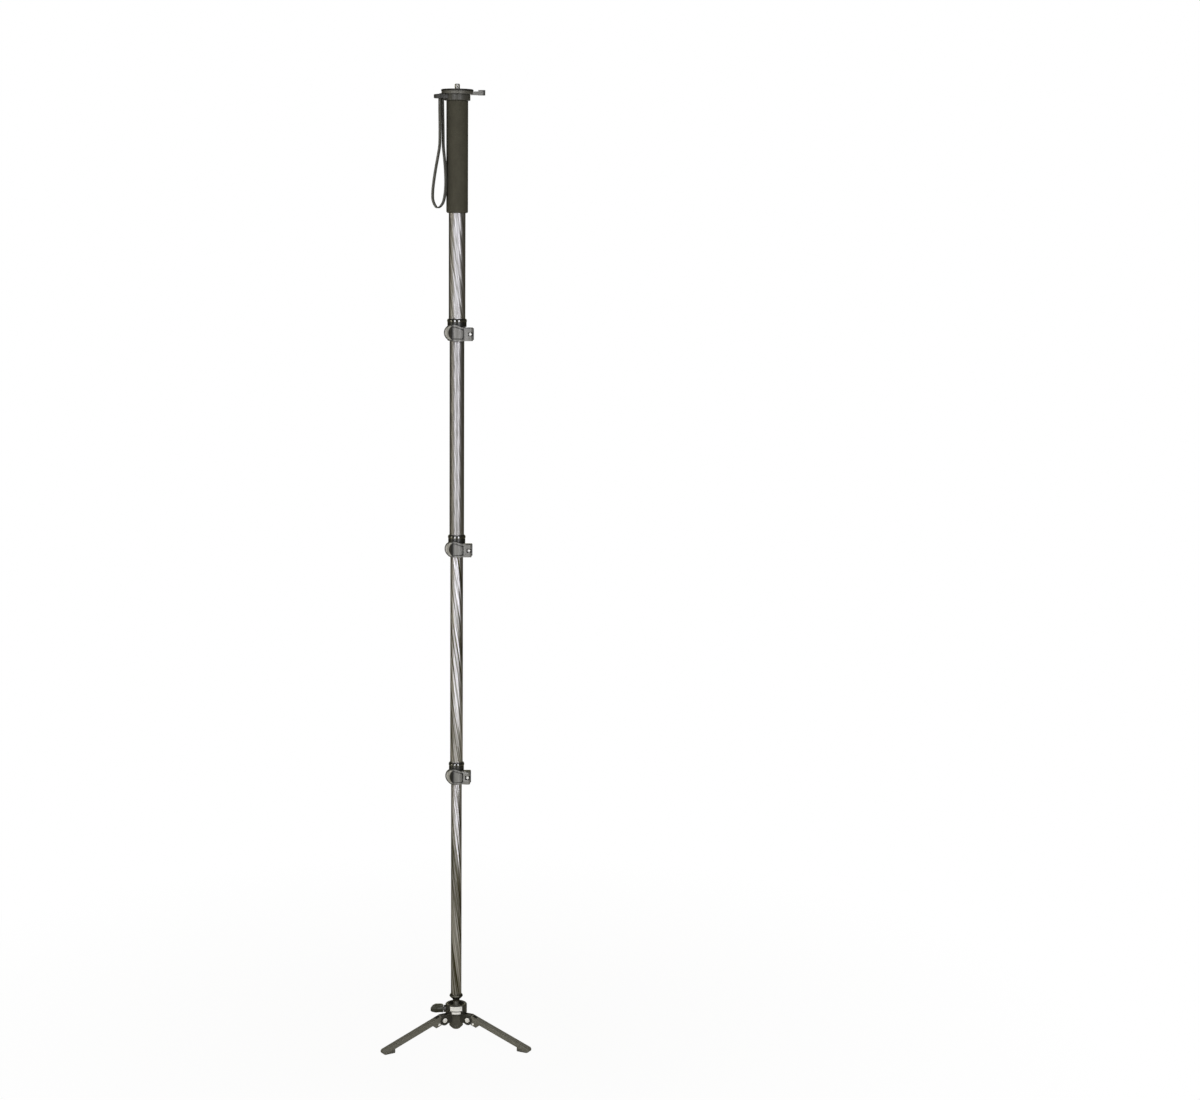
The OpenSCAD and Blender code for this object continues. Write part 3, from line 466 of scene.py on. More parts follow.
def foam_finish(name, source):
    """Matte closed-cell foam with a fine skin of pores."""
    finish = Finish(name, roughness=0.92, specular_ior_level=0.25)
    at = finish.place()
    pores = finish.node("ShaderNodeTexVoronoi", {"Vector": at, "Scale": PORE_SCALE}).outputs["Distance"]
    cloud = finish.noise(at, CLOUD_SCALE, 4.0, 0.6)
    tone = finish.add(finish.times(pores, 0.5), finish.times(cloud, 0.6))
    finish.feed("Base Color", finish.shade(colour_of(source), tone, dark=0.6, light=1.5))
    finish.bump(pores, 0.5, PORE_DEPTH)
    return finish.material


def moulded_finish(name, source, share, roughness, grain, depth, coat=0.0, gloss=1.9):
    """Moulded or painted surface with a fine even grain, and a clear coat of a given gloss."""
    finish = Finish(name, roughness=roughness, coat_weight=coat, coat_roughness=0.1, coat_ior=gloss)
    at = finish.place()
    fine = finish.noise(at, grain, 2.0)
    wide = finish.noise(at, grain / 30.0)
    finish.feed("Base Color", finish.shade(colour_of(source, share), wide, dark=0.75, light=1.25))
    finish.feed("Roughness", finish.spread(wide, roughness - 0.06, roughness + 0.08))
    finish.bump(fine, 0.35, depth)
    return finish.material


def metal_finish(name, source, share, metallic, roughness, grain):
    """Polished or satin metal with faint uneven gloss."""
    finish = Finish(name, metallic=metallic, roughness=roughness)
    at = finish.place()
    wear = finish.noise(at, grain, 4.0, 0.65)
    finish.feed("Base Color", finish.shade(colour_of(source, share), wear, dark=0.85, light=1.1))
    finish.feed("Roughness", finish.spread(wear, roughness - 0.05, roughness + 0.09))
    finish.bump(finish.noise(at, grain * METAL_GRAIN, 2.0), METAL_BUMP, METAL_DEPTH)
    return finish.material


def lever_finish(name, source):
    """Satin paint on the levers, with a painted highlight on the lip and painted shade on the rim, the
    valley and the knuckle's upper edge, laid out on the front map.
    """
    finish = Finish(name, metallic=0.25)
    wear = finish.noise(finish.place(), LEVER_WEAR, 4.0, 0.65)
    front = finish.split(finish.node("ShaderNodeUVMap", uv_map="front").outputs[0])
    up = finish.minus(front["Y"], LOBE_RADIUS)

    def inside(middle_x, radius, right_side):
        """Distance in from a circle about the round end's mid height."""
        across = finish.math("MINIMUM", finish.minus(front["X"], middle_x), right_side)
        return finish.minus(radius, finish.length(finish.join(across, up)))

    # Painted shade on the round end's rim and in the valley behind it, painted highlight on the lip between
    # them
    rim = finish.spread(inside(LOBE_RADIUS, LOBE_RADIUS, 0.0), RIM_SHADE, 1.0, *RIM_TO_LIP)
    valley = finish.spread(inside(VALLEY_MIDDLE, VALLEY_RADIUS, 1.0), 1.0, VALLEY_SHADE, 0.0, VALLEY_SOFT)
    flat = finish.spread(front["X"], 0.0, 1.0, *VALLEY_TO_FACE)
    tone = finish.add(finish.times(rim, valley, finish.minus(1.0, flat)), finish.times(flat, FACE_TONE))
    # Painted shade along the knuckle's upper edge
    edge = finish.times(finish.spread(front["X"], 0.0, KNUCKLE_SHADE, *KNUCKLE_FROM),
                        finish.spread(front["Y"], 0.0, 1.0, *KNUCKLE_EDGE))
    tone = finish.times(tone, finish.minus(1.0, edge), finish.spread(wear, 0.85, 1.0))
    finish.feed("Base Color", finish.shade(colour_of(source), tone, dark=0.06, light=2.6))
    finish.feed("Roughness", finish.spread(wear, 0.34, 0.48))
    finish.bump(finish.noise(finish.place(), LEVER_GRAIN, 2.0), METAL_BUMP, METAL_DEPTH)
    return finish.material


def webbing_finish(name, source):
    """Woven tape: rows of yarn across the strap, each half a row out from its neighbour."""
    finish = Finish(name, roughness=0.8, sheen_weight=0.4, sheen_roughness=0.5)
    at = finish.split(finish.node("ShaderNodeUVMap", uv_map="weave").outputs[0])
    column = finish.times(at["X"], YARNS_ACROSS)
    shift = finish.times(finish.math("FLOORED_MODULO", finish.math("FLOOR", column), 2.0), 0.5)
    row = finish.add(finish.times(at["Y"], ROWS_ALONG), shift)
    height = finish.times(finish.ridges(row), finish.ridges(column))
    off_middle = finish.math("ABSOLUTE", finish.minus(at["X"], 0.5))
    # Paler in the middle of the tape, darker towards its edges
    paler_middle = finish.spread(off_middle, 1.0, 0.25, 0.16, 0.3)
    tone = finish.times(finish.spread(height, 0.55, 1.0), paler_middle)
    finish.feed("Base Color", finish.shade(colour_of(source), tone, dark=0.2, light=1.2))
    finish.bump(height, 0.8, 0.0003)
    return finish.material


MAKERS = {
    carbon_finish: CARBON_LOOKS,
    moulded_finish: MOULDED,
    metal_finish: METALS,
    foam_finish: {"grip_foam": ("foam",)},
    lever_finish: {"satin_grey": ("lever",)},
    webbing_finish: {"strap_webbing": ("webbing",)},
}
FINISHES = {}


def finish_of(name):
    """The named finish, made on first use."""
    if name not in FINISHES:
        maker = next(maker for maker, looks in MAKERS.items() if name in looks)
        FINISHES[name] = maker(name, *MAKERS[maker][name])
    return FINISHES[name]


def new_piece(name, mesh):
    """Links a mesh as an object at the origin."""
    piece = bpy.data.objects.new(name, mesh)
    bpy.context.scene.collection.objects.link(piece)
    return piece


def settle(piece):
    """Applies a piece's modifiers, which leaves a plain mesh."""
    evaluated = piece.evaluated_get(bpy.context.evaluated_depsgraph_get())
    mesh = bpy.data.meshes.new_from_object(evaluated)
    piece.modifiers.clear()
    piece.data = mesh


def smooth(piece, angle=CREASE):
    """Shades a piece smooth with creases left at sharp edges."""
    piece.data.shade_smooth()
    piece.data.set_sharp_from_angle(angle=angle)


def soften(piece, width, segments=1, material=-1):
    """Rounds a piece's edges, and shades it smooth."""
    bevel = piece.modifiers.new("soft edges", "BEVEL")
    bevel.width = width
    bevel.segments = segments
    bevel.limit_method = "ANGLE"
    bevel.angle_limit = ROUND_ANGLE
    bevel.material = material
    settle(piece)
    smooth(piece)


def paint(node, finish):
    """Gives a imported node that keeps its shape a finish."""
    shape = frame["nodes"][node]
    shape.data.materials.clear()
    shape.data.materials.append(finish_of(finish))


def dress(node, finish, edge, edge_finish=None, segments=2, zones=(), cut=None):
    """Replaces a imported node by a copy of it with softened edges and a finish.

    Zones are pairs of a finish and a test of a face's middle; the first that holds is used.
    Cut is a distance to the right of the tubes' axis at which faces are split for a zone.
    """
    mesh = frame["nodes"][node].data.copy()
    mesh.materials.clear()
    for name in (finish, edge_finish or finish, *(zone for zone, _ in zones)):
        mesh.materials.append(finish_of(name))
    shape = bmesh.new()
    shape.from_mesh(mesh)
    if cut is not None:
        bmesh.ops.bisect_plane(shape, geom=[*shape.verts, *shape.edges, *shape.faces],
                               plane_co=TUBE_AXIS + Vector((cut, 0, 0)), plane_no=(1, 0, 0))
    for face in shape.faces:
        at = face.calc_center_median() - TUBE_AXIS
        inside = (k for k, (_, test) in enumerate(zones, ON_ZONES) if test(at))
        face.material_index = next(inside, ON_FACES)
    bmesh.ops.remove_doubles(shape, verts=shape.verts, dist=MERGE_DISTANCE)
    bmesh.ops.dissolve_limit(shape, angle_limit=FLAT_ANGLE, verts=shape.verts, edges=shape.edges,
                             delimit={"MATERIAL"})
    shape.to_mesh(mesh)
    shape.free()
    piece = new_piece(node + "_dressed", mesh)
    soften(piece, edge, segments, ON_EDGES if edge_finish else -1)
    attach(piece, NODE_BODY[node])
    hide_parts(node)
    return piece


def new_tree(name, **inputs):
    """A geometry tree with named inputs, as the tree, its graph and the inputs' sockets."""
    tree = bpy.data.node_groups.new(name, "GeometryNodeTree")
    tree.interface.new_socket("Geometry", in_out="OUTPUT", socket_type="NodeSocketGeometry")
    for label, kind in inputs.items():
        tree.interface.new_socket(label, in_out="INPUT", socket_type="NodeSocket" + kind)
    graph = Graph(tree)
    return tree, graph, graph.node("NodeGroupInput").outputs


def close_tree(graph, ends, geometry):
    """Closes a tree: real geometry, one finish."""
    real = graph.node("GeometryNodeRealizeInstances", [geometry]).outputs[0]
    painted = graph.node("GeometryNodeSetMaterial", {"Geometry": real, "Material": ends["Finish"]})
    graph.node("NodeGroupOutput", [painted.outputs[0]])


def thread_tree():
    """A screw thread: a small round bead swept along a spiral."""
    tree, graph, ends = new_tree("Screw Thread", Radius="Float", Pitch="Float", Turns="Float",
                                 Bead="Float", Finish="Material")
    spiral = graph.node("GeometryNodeCurveSpiral", {
        "Resolution": THREAD_STEPS, "Rotations": ends["Turns"], "Start Radius": ends["Radius"],
        "End Radius": ends["Radius"], "Height": graph.times(ends["Pitch"], ends["Turns"])})
    bead = graph.node("GeometryNodeCurvePrimitiveCircle", {
        "Resolution": THREAD_SIDES, "Radius": ends["Bead"]})
    sweep = graph.node("GeometryNodeCurveToMesh", {
        "Curve": spiral.outputs[0], "Profile Curve": bead.outputs[0], "Fill Caps": True})
    close_tree(graph, ends, sweep.outputs[0])
    return tree


def stitch_tree():
    """Stitches: a short slim bead on every point, along the point's run."""
    tree, graph, ends = new_tree("Stitches", Points="Geometry", Length="Float", Width="Float",
                                 Finish="Material")
    bead = graph.node("GeometryNodeMeshUVSphere", {
        "Segments": STITCH_SIDES, "Rings": STITCH_RINGS, "Radius": 0.5})
    size = graph.join(ends["Width"], ends["Width"], ends["Length"])
    run = graph.node("GeometryNodeInputNamedAttribute", {"Name": "run"}, data_type="FLOAT_VECTOR")
    turn = graph.node("FunctionNodeAlignRotationToVector", {"Vector": run.outputs[0]}, axis="Z")
    place = graph.node("GeometryNodeInstanceOnPoints", {
        "Points": ends["Points"], "Instance": bead.outputs[0], "Rotation": turn.outputs[0], "Scale": size})
    close_tree(graph, ends, place.outputs[0])
    return tree


def grow(tree, name, values, source=None):
    """Runs a geometry tree and keeps the result as a plain mesh."""
    carrier = new_piece(name, source or bpy.data.meshes.new(name))
    modifier = carrier.modifiers.new(tree.name, "NODES")
    modifier.node_group = tree
    for socket in tree.interface.items_tree:
        if socket.item_type == "SOCKET" and socket.in_out == "INPUT" and socket.name in values:
            modifier[socket.identifier] = values[socket.name]
    settle(carrier)
    carrier.data.shade_smooth()
    return carrier


def wind_thread(name, finish, core, pitch, bead, length, foot):
    """Thread of the whole turns that fit a length, wound round an upright core from its foot."""
    turns = math.floor((length - 2 * bead) / pitch)
    thread = grow(thread_tree(), name, {
        "Radius": core, "Pitch": pitch, "Turns": float(turns), "Bead": bead, "Finish": finish_of(finish)})
    thread.data.transform(Matrix.Translation(foot + Vector((0, 0, bead))))
    return thread


def skin(shape, rings, joined=False):
    """Faces from each ring of points to the next; the ends are closed, or joined to each other."""
    faces = []
    for low, high in zip(rings, rings[1:] + rings[:1] if joined else rings[1:]):
        for k in range(len(low)):
            m = (k + 1) % len(low)
            faces.append(shape.faces.new((low[k], low[m], high[m], high[k])))
    if not joined:
        shape.faces.new(list(reversed(rings[0])))
        shape.faces.new(rings[-1])
    return faces


def shaped(name, shape, finish, crease=CREASE):
    """Turns a shape under construction into a smooth piece whose faces point outwards."""
    bmesh.ops.recalc_face_normals(shape, faces=shape.faces)
    mesh = bpy.data.meshes.new(name)
    shape.to_mesh(mesh)
    shape.free()
    mesh.materials.append(finish_of(finish))
    piece = new_piece(name, mesh)
    smooth(piece, crease)
    return piece


def lathe(name, profile, centre, finish, steps=64, ring=False):
    """A turned piece from its profile of radius and height, about an upright line.

    A ring's profile closes on itself; any other piece is closed by flat ends.
    """
    shape = bmesh.new()
    turns = [2 * math.pi * k / steps for k in range(steps)]
    rings = [
        [shape.verts.new((centre.x + radius * math.cos(a), centre.y + radius * math.sin(a), height))
         for a in turns]
        for radius, height in profile
    ]
    skin(shape, rings, joined=ring)
    return shaped(name, shape, finish)


def curve_through(points, steps):
    """Smooth closed way through points."""
    way = []
    count = len(points)
    for i in range(count):
        a, b, c, d = (Vector(points[(i + k) % count]) for k in (-1, 0, 1, 2))
        for k in range(steps):
            t = k / steps
            way.append(0.5 * (2 * b + (c - a) * t + (2 * a - 5 * b + 4 * c - d) * t * t
                              + (3 * b - a - 3 * c + d) * t ** 3))
    return way


class MONOPOD_OT_tubes(bpy.types.Operator):
    """Carbon tubes and the bushes and liners between them"""

    bl_idname = "monopod.tubes"
    bl_label = "Tubes"

    def execute(self, context):
        for n, look in TUBE_LOOKS.items():
            dress(f"tube_{n}", look, THIN_EDGE)
        for n in LOCKS:
            paint(f"guide_bush_{n + 1}", "pale_nylon")
            paint(f"clamp_liner_{n}", "pale_nylon")
        return {"FINISHED"}


class MONOPOD_OT_locks(bpy.types.Operator):
    """Flip locks: collars, levers, bolts with their threads, nuts and pins"""

    bl_idname = "monopod.locks"
    bl_label = "Flip locks"

    def execute(self, context):
        sizes = context.scene.monopod_sizes
        for n in LOCKS:
            dress(f"lock_collar_{n}", "black_shell", sizes.soft_edge)
            self.bead(n)
            lever = dress(f"lock_lever_{n}", "satin_grey", ROUND_EDGE, segments=3)
            self.front_map(lever, n)
            dress(f"clamp_nut_{n}", "polished_steel", FINE_EDGE)
            paint(f"lever_pin_{n}", "polished_steel")
            self.panel(n)
            self.bolt(n, sizes.bolt_pitch)
        return {"FINISHED"}

    def bead(self, n):
        """Rounded bead round the upper end of a collar."""
        node = f"lock_collar_{n}"
        low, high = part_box(node)
        wall = TUBE_AXIS.x - low[0]
        level = high[2] - BEAD_DROP
        reach = math.asin(BEAD_HALF / BEAD_CURVE)
        profile = [(wall - BEAD_RISE, level - BEAD_HALF)]
        for k in range(BEAD_STEPS + 1):
            tilt = reach * (2 * k / BEAD_STEPS - 1)
            profile.append((wall + BEAD_RISE - BEAD_CURVE * (1 - math.cos(tilt)),
                            level + BEAD_CURVE * math.sin(tilt)))
        profile.append((wall - BEAD_RISE, level + BEAD_HALF))
        bead = lathe(f"collar_bead_{n}", profile, TUBE_AXIS, "black_shell_bead", BEAD_TURN, ring=True)
        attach(bead, NODE_BODY[node])

    def front_map(self, piece, n):
        """Maps a piece of a lever flat from the front: metres from the lever's round end and foot."""
        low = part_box(f"lock_lever_{n}")[0]
        layer = piece.data.uv_layers.new(name="front")
        for loop in piece.data.loops:
            at = piece.data.vertices[loop.vertex_index].co
            layer.data[loop.index].uv = (at.x - low[0], at.z - low[2])

    def bolt(self, n, pitch):
        """Eye bolt: a round eye on the lever's pin, a turned shank and the thread under the nut."""
        node = f"clamp_bolt_{n}"
        low, high = (Vector(corner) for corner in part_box(node))
        eye = (high.z - low.z) / 2
        pivot = Vector((middle(node).x, low.y + (high.x - low.x) / 2, middle(node).z))
        end = high.y - pivot.y
        bead = BOLT_BEAD * pitch
        shank = BOLT_RADIUS - bead
        angles = [math.radians(angle) for angle in EYE_ANGLES]
        profile = [(eye * math.sin(a), -eye * math.cos(a)) for a in angles]
        profile += [(shank, EYE_NECK * eye), (shank, end - BOLT_CHAMFER), (shank - BOLT_CHAMFER, end)]
        body = lathe(f"clamp_eye_{n}", profile, ORIGIN, "bright_steel", EYE_TURN)
        foot = Vector((0, 0, end - BOLT_THREAD))
        thread = wind_thread(f"clamp_thread_{n}", "bright_steel", shank, pitch, bead, BOLT_THREAD, foot)
        for piece in (body, thread):
            piece.data.transform(Matrix.Translation(pivot) @ Matrix.Rotation(math.radians(-90), 4, "X"))
            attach(piece, NODE_BODY[node])
        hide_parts(node)

    def panel(self, n):
        """Panel laid into the sunk face of a lever, with a groove round it darkened with painted shade."""
        node = f"lock_lever_{n}"
        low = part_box(node)[0][2]
        face = self.face_radius(node)
        groove = self.inlay(f"lever_groove_{n}", "satin_grey_groove", face, low, 0.0, 0.0,
                            face - LEVER_SUNK + GROOVE_RISE)
        panel = self.inlay(f"lever_panel_{n}", "satin_grey", face, low, GROOVE_WIDTH, PANEL_CORNER,
                           face - PANEL_BACK)
        for piece in (groove, panel):
            self.front_map(piece, n)
            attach(piece, NODE_BODY[node])

    def face_radius(self, node):
        """Distance of a lever's face from the tubes' axis, at the front."""
        reach = 0.0
        for vertex in frame["nodes"][node].data.vertices:
            out = vertex.co - TUBE_AXIS
            if abs(out.x) < FACE_HALF and out.y < 0.0:
                reach = max(reach, math.hypot(out.x, out.y))
        return reach

    def inlay(self, name, finish, face, low, inset, corner, front):
        """Thin curved plate in a lever's sunk face, a little way in from the face's edges."""
        left = -(face - LEVER_WALL) / 2
        right = LEVER_FALL[1] - inset
        back = face - LEVER_SUNK - INLAY_DEPTH
        shape = bmesh.new()
        rings = []
        for k in range(INLAY_STEPS + 1):
            x = left + (right - left) * k / INLAY_STEPS
            past = max(0.0, x - right + corner)
            rounding = corner - math.sqrt(max(0.0, corner * corner - past * past))
            share = min(1.0, max(0.0, (x - LEVER_FALL[0]) / (LEVER_FALL[1] - LEVER_FALL[0])))
            fall = (LEVER_HEIGHT - KNUCKLE_HEIGHT) * share * share * (3 - 2 * share)
            bottom = low + LEVER_RIM + inset + rounding
            top = low + LEVER_HEIGHT - LEVER_RIM - inset - fall - 0.5 * rounding
            top = max(top, bottom + INLAY_LEAST)
            rings.append([
                shape.verts.new(TUBE_AXIS + Vector((x, -math.sqrt(r * r - x * x), z)))
                for r, z in ((back, bottom), (front, bottom), (front, top), (back, top))])
        skin(shape, rings)
        return shaped(name, shape, finish)


class MONOPOD_OT_head(bpy.types.Operator):
    """Head end: top collar, lever ring, platform, its rubber facing and the threaded stud"""

    bl_idname = "monopod.head"
    bl_label = "Head end"

    def execute(self, context):
        sizes = context.scene.monopod_sizes
        # The strap lug on the top collar takes the same darker casting as the painted shade on the hinge
        # cheeks
        dress("top_collar", "collar_paint", sizes.soft_edge,
              zones=(("cheek_paint", lambda at: at.xy.length > LUG_FROM),))
        low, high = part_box("head_lever_ring")
        ring = TUBE_AXIS.x - low[0]
        tip = high[0] - TUBE_AXIS.x - ARM_END_SHADE
        # The arm's end gets painted shade
        dress("head_lever_ring", "ring_paint", ROUND_EDGE, edge_finish="arm_paint", cut=tip,
              zones=(("arm_end", lambda at: at.x > tip), ("arm_paint", lambda at: at.x > ring)))
        dress("head_platform", "black_anodised", FINE_EDGE)
        dress("head_pad", "black_rubber", THIN_EDGE)
        paint("top_plug", "dark_casting")
        self.stud(sizes.stud_pitch)
        return {"FINISHED"}

    def stud(self, pitch):
        """Stud with a turned core and a thread wound round it."""
        low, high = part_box("head_stud")
        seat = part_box("head_pad")[1][2]
        bead = STUD_BEAD * pitch
        core = (high[0] - low[0]) / 2 - bead
        profile = [(core, low[2]), (core, high[2] - STUD_CHAMFER), (core - STUD_CHAMFER, high[2])]
        stud = lathe("head_stud_core", profile, TUBE_AXIS, "polished_steel")
        foot = TUBE_AXIS + Vector((0, 0, seat))
        thread = wind_thread("head_stud_thread", "polished_steel", core, pitch, bead, high[2] - seat, foot)
        for piece in (stud, thread):
            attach(piece, NODE_BODY["head_stud"])
        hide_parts("head_stud")


class MONOPOD_OT_grip(bpy.types.Operator):
    """Foam grip"""

    bl_idname = "monopod.grip"
    bl_label = "Grip"

    def execute(self, context):
        grip = dress("grip_sleeve", "grip_foam", ROUND_EDGE)
        return {"FINISHED"}


class MONOPOD_OT_strap(bpy.types.Operator):
    """Wrist strap: a loop of woven tape over the lug's bar, sewn below it"""

    bl_idname = "monopod.strap"
    bl_label = "Wrist strap"

    def execute(self, context):
        sizes = context.scene.monopod_sizes
        turn = [
            (STRAP_BAR[0] + STRAP_TURN * math.cos(math.radians(a)),
             STRAP_BAR[1] + STRAP_TURN * math.sin(math.radians(a)))
            for a in STRAP_TURN_ANGLES
        ]
        way = curve_through(turn + list(STRAP_ROUTE), ROUTE_STEPS)
        strap = self.tape(way, sizes)
        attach(strap, NODE_BODY["wrist_strap"])
        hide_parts("wrist_strap")
        lap = self.lap(way, sizes)
        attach(lap, NODE_BODY["wrist_strap"])
        return {"FINISHED"}

    def spot(self, at, across):
        """Point from its place in the lug's upright plane, out and up, and its distance across it."""
        return TUBE_AXIS + STRAP_OUT * at.x + STRAP_SIDE * across + Vector((0, 0, STRAP_BASE + at.y))

    def lap(self, way, sizes):
        """Rows of stitches on the outer strand, where the tape's end is sewn to it."""
        outer = [point for point in way if point.x > STRAP_BAR[0] and LAP_TO < point.y < LAP_FROM]
        surface = Vector((sizes.webbing_thickness / 2, 0.0))
        points, runs = [], []
        left = 0.0
        for here, there in zip(outer, outer[1:]):
            ahead = there - here
            run = (STRAP_OUT * ahead.x + Vector((0, 0, ahead.y))).normalized()
            step = ahead.length * MM
            while left < step:
                at = here.lerp(there, left / step) * MM + surface
                points += [self.spot(at, row) for row in STITCH_ROWS]
                runs += [*run] * len(STITCH_ROWS)
                left += STITCH_SPACING * sizes.stitch
            left -= step
        mesh = bpy.data.meshes.new("strap_stitches")
        mesh.from_pydata(points, [], [])
        direction = mesh.attributes.new("run", "FLOAT_VECTOR", "POINT")
        direction.data.foreach_set("vector", runs)
        return grow(stitch_tree(), "strap_stitches", {
            "Length": sizes.stitch, "Width": STITCH_WIDTH, "Finish": finish_of("strap_thread")}, mesh)

    def tape(self, way, sizes):
        """Woven tape of rounded section along a way in the lug's upright plane."""
        half_w = sizes.webbing_width / 2
        half_t = sizes.webbing_thickness / 2
        flat_w = half_w - TAPE_CORNER * half_t
        flat_t = half_t - TAPE_CORNER * half_t
        section = [(-flat_w, -half_t), (flat_w, -half_t), (half_w, -flat_t), (half_w, flat_t),
                   (flat_w, half_t), (-flat_w, half_t), (-half_w, flat_t), (-half_w, -flat_t)]
        shape = bmesh.new()
        weave = shape.loops.layers.uv.new("weave")
        rings = []
        lengths = [0.0]
        for i, point in enumerate(way):
            following = way[(i + 1) % len(way)]
            ahead = (following - way[i - 1]).normalized()
            normal = Vector((ahead.y, -ahead.x))
            rings.append([shape.verts.new(self.spot(point * MM + normal * thick, across))
                          for across, thick in section])
            lengths.append(lengths[-1] + (following - point).length * MM)
        for number, face in enumerate(skin(shape, rings, joined=True)):
            i, k = divmod(number, len(section))
            m = (k + 1) % len(section)
            for loop, (u, v) in zip(face.loops, ((k, i), (m, i), (m, i + 1), (k, i + 1))):
                loop[weave].uv = (section[u][0] / sizes.webbing_width + 0.5,
                                  lengths[v] / sizes.webbing_width)
        return shaped("wrist_strap_tape", shape, "strap_webbing", TAPE_CREASE)


class MONOPOD_OT_base(bpy.types.Operator):
    """Ball base: hub, dished ring, boss, ball, foot cup, lock knob and the bare plate"""

    bl_idname = "monopod.base"
    bl_label = "Ball base"

    def execute(self, context):
        sizes = context.scene.monopod_sizes
        # Painted shade on the hinge cheeks under the hub
        dress("base_hub", "hub_paint", sizes.soft_edge, edge_finish="hub_worn_edge", zones=(
            ("cheek_paint", lambda at: at.z < HUB_UNDERSIDE and at.xy.length > BOSS_RADIUS),
            ("boss_paint", lambda at: at.z < HUB_UNDERSIDE)))
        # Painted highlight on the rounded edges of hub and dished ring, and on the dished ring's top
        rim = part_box("hub_top_ring")[1][2] - RIM_HIGHLIGHT
        dress("hub_top_ring", "dish_paint", THIN_EDGE, edge_finish="hub_worn_edge",
              zones=(("hub_worn_edge", lambda at: at.z > rim),))
        dress("hub_end_cap", "boss_paint", FINE_EDGE)
        dress("tube_foot", "foot_cup_metal", THIN_EDGE)
        dress("ball_stem", "dark_steel", THIN_EDGE)
        dress("lock_knob", "knob_plastic", KNOB_EDGE)
        paint("knob_screw", "dark_steel")
        paint("brake_pad", "pale_nylon")
        paint("ball_seat", "pale_nylon")
        paint("seat_spring", "polished_steel")
        self.plate()
        return {"FINISHED"}

    def plate(self):
        """Bare plate in two bands on the front of the hub."""
        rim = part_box("hub_top_ring")[1][2]
        back, front = PLATE_RADIUS - PLATE_SUNK, PLATE_RADIUS + PLATE_PROUD
        shape = bmesh.new()
        for drop, height, width in PLATE_BANDS:
            reach = math.asin(width / 2 / PLATE_RADIUS)
            top = rim - drop
            bottom = top - height
            rings = []
            for k in range(PLATE_STEPS + 1):
                a = reach * (2 * k / PLATE_STEPS - 1)
                rings.append([
                    shape.verts.new(TUBE_AXIS + Vector((r * math.sin(a), -r * math.cos(a), z)))
                    for r, z in ((back, bottom), (front, bottom), (front, top), (back, top))])
            skin(shape, rings)
        plate = shaped("hub_plate", shape, "bare_plate")
        soften(plate, PLATE_EDGE)
        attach(plate, NODE_BODY["base_hub"])


class MONOPOD_OT_legs(bpy.types.Operator):
    """Folding legs with their pins and foot pads"""

    bl_idname = "monopod.legs"
    bl_label = "Legs"

    def execute(self, context):
        for leg in LEG_AZIMUTHS:
            # Painted shade on the legs' rounded edges
            dress(f"leg_{leg}", "dark_casting", LEG_EDGE, edge_finish="dark_casting_edge", segments=3,
                  # Painted shade in the pocket by the hinge
                  zones=(("cheek_paint", lambda at: self.in_pocket(leg, at)),))
            dress(f"stop_pin_{leg}", "bright_steel", PIN_EDGE)
            dress(f"foot_pad_{leg}", "foot_rubber", ROUND_EDGE)
        dress("leg_hinge_pins", "bright_steel", ROUND_EDGE)
        return {"FINISHED"}

    def in_pocket(self, leg, at):
        """Whether a point lies on the walls or floor of the pocket in a leg's upper face."""
        azimuth = math.radians(LEG_AZIMUTHS[leg])
        out = at.x * math.cos(azimuth) + at.y * math.sin(azimuth) - HINGE_RADIUS
        side = at.y * math.cos(azimuth) - at.x * math.sin(azimuth)
        rise = at.z - HINGE_HEIGHT
        along = out * math.cos(LEG_SLOPE) - rise * math.sin(LEG_SLOPE)
        up = out * math.sin(LEG_SLOPE) + rise * math.cos(LEG_SLOPE)
        return (POCKET_RUN[0] < along < POCKET_RUN[1] and abs(side) < POCKET_HALF
                and POCKET_DEPTHS[0] < LEG_TOP - up < POCKET_DEPTHS[1])


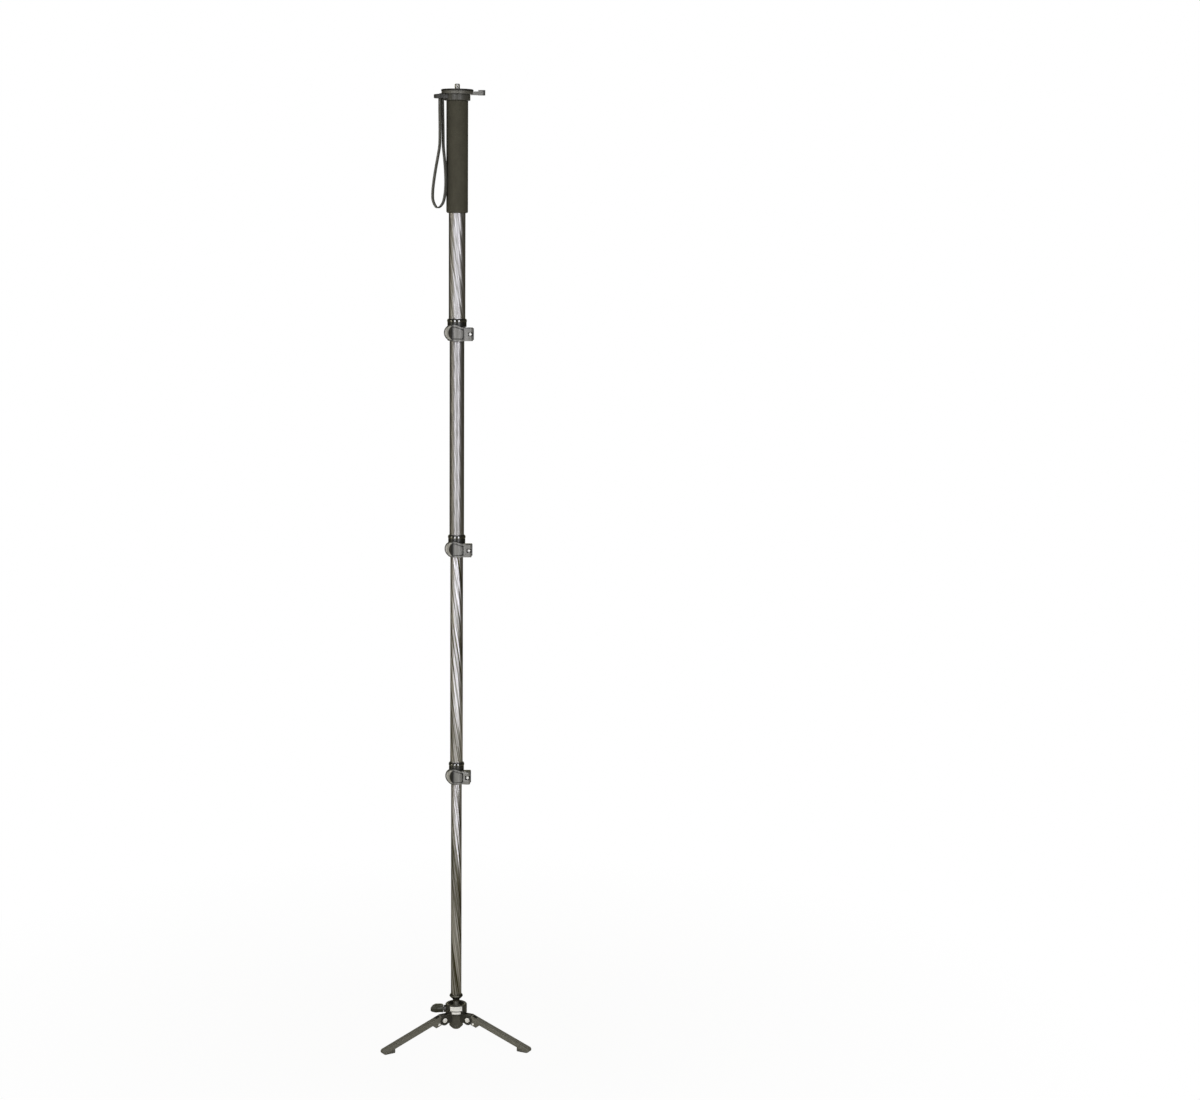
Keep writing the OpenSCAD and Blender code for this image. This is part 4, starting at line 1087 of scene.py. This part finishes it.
class MONOPOD_OT_stage(bpy.types.Operator):
    """Pale floor, soft light and the viewpoint"""

    bl_idname = "monopod.stage"
    bl_label = "Stage"

    def execute(self, context):
        self.floor()
        self.world(context.scene)
        for name, light in SOFTBOXES.items():
            self.softbox(name, *light)
        self.viewpoint(context.scene)
        context.scene.view_settings.view_transform = "Standard"
        return {"FINISHED"}

    def floor(self):
        """Floor that is seen as nearly white, and keeps the object's shadow."""
        mesh = bpy.data.meshes.new("floor")
        corners = ((-1, -1), (1, -1), (1, 1), (-1, 1))
        mesh.from_pydata([(FLOOR_REACH * x, FLOOR_REACH * y, 0) for x, y in corners], [], [(0, 1, 2, 3)])
        floor = new_piece("floor", mesh)
        finish = Finish("pale_floor", base_color=FLOOR_COLOUR, roughness=0.9, specular_ior_level=0.0)
        glow = finish.node("ShaderNodeEmission", {"Color": [*WHITE, 1.0], "Strength": 1.0})
        at = finish.place()
        away = finish.length(at)
        fade = finish.spread(away, *FLOOR_WHITE, *FLOOR_FADE)
        back = finish.math("DIVIDE", finish.split(at)["Y"], away)
        behind = finish.spread(back, 0.0, 1.0, *STRIP)
        path = finish.node("ShaderNodeLightPath").outputs
        shown = finish.most(path["Is Camera Ray"], path["Is Transmission Ray"])
        share = finish.most(finish.times(shown, fade), finish.times(path["Is Glossy Ray"], behind))
        blend = finish.node("ShaderNodeMixShader", [share, finish.shader.outputs[0], glow.outputs[0]])
        finish.links.new(blend.outputs[0], finish.nodes["Material Output"].inputs["Surface"])
        mesh.materials.append(finish.material)

    def world(self, scene):
        """White where it is seen, a bright strip behind for reflections, and a dim fill for the rest."""
        world = bpy.data.worlds.new("pale_studio")
        world.use_nodes = True
        graph = Graph(world.node_tree)
        back = graph.nodes["Background"].inputs
        way = graph.split(graph.node("ShaderNodeTexCoord").outputs["Generated"])
        studio = graph.spread(way["Y"], STRIP_DIM, 1.0, *STRIP)
        path = graph.node("ShaderNodeLightPath").outputs
        shown = graph.most(path["Is Camera Ray"], path["Is Transmission Ray"])
        mirrored = graph.times(path["Is Glossy Ray"], studio)
        fill = graph.math("MULTIPLY_ADD", path["Is Glossy Ray"], -FILL, FILL)
        graph.links.new(graph.most(shown, mirrored, fill), back["Strength"])
        graph.links.new(graph.between(shown, FILL_TINT, WHITE), back["Color"])
        scene.world = world

    def softbox(self, name, place, size, power, colour, mirrored):
        """Upright softbox that faces the tubes."""
        light = bpy.data.lights.new(name, "AREA")
        light.shape = "RECTANGLE"
        light.size, light.size_y = size
        light.energy = power
        light.color = colour
        lamp = bpy.data.objects.new(name, light)
        lamp.location = place
        lamp.rotation_euler = Vector((-place[0], -place[1], 0.0)).to_track_quat("-Z", "Y").to_euler()
        lamp.visible_camera = False
        lamp.visible_glossy = mirrored
        bpy.context.scene.collection.objects.link(lamp)

    def viewpoint(self, scene):
        """Camera in front of the tubes, turned by its yaw, pitch and roll."""
        stage = scene.monopod_stage
        lens = bpy.data.cameras.new("viewpoint")
        lens.lens = stage.lens
        lens.sensor_width = SENSOR_WIDTH
        camera = bpy.data.objects.new("viewpoint", lens)
        place = Matrix.Translation(TUBE_AXIS + Vector((0, -stage.distance, stage.height)))
        level = Matrix.Rotation(-stage.yaw, 4, "Z")
        tilt = Matrix.Rotation(math.pi / 2 - stage.pitch, 4, "X")
        camera.matrix_world = place @ level @ tilt @ Matrix.Rotation(-stage.roll, 4, "Z")
        scene.collection.objects.link(camera)
        scene.camera = camera


class MONOPOD_PT_pieces(bpy.types.Panel):
    """Sizes, colours and the steps that dress the monopod"""

    bl_label = "Monopod"
    bl_idname = "MONOPOD_PT_pieces"
    bl_space_type = "VIEW_3D"
    bl_region_type = "UI"
    bl_category = "Monopod"

    def draw(self, context):
        for name, group in GROUPS.items():
            box = self.layout.box()
            for field in group.__annotations__:
                box.prop(getattr(context.scene, name), field)
        for step in STEPS:
            self.layout.operator(step.bl_idname)


STEPS = (
    MONOPOD_OT_stage,
    MONOPOD_OT_tubes,
    MONOPOD_OT_locks,
    MONOPOD_OT_head,
    MONOPOD_OT_grip,
    MONOPOD_OT_strap,
    MONOPOD_OT_base,
    MONOPOD_OT_legs,
)
GROUPS = {
    "monopod_finishes": MonopodFinishes,
    "monopod_sizes": MonopodSizes,
    "monopod_stage": MonopodStage,
}
CLASSES = (*GROUPS.values(), *STEPS, MONOPOD_PT_pieces)


def register():
    for item in CLASSES:
        bpy.utils.register_class(item)
    for name, group in GROUPS.items():
        setattr(bpy.types.Scene, name, PointerProperty(type=group))


def unregister():
    for name in GROUPS:
        delattr(bpy.types.Scene, name)
    for item in reversed(CLASSES):
        bpy.utils.unregister_class(item)


def main():
    register()
    bpy.ops.monopod.stage()
    bpy.ops.monopod.tubes()
    bpy.ops.monopod.locks()
    bpy.ops.monopod.head()
    bpy.ops.monopod.grip()
    bpy.ops.monopod.strap()
    bpy.ops.monopod.base()
    bpy.ops.monopod.legs()


if __name__ == "__main__":
    main()
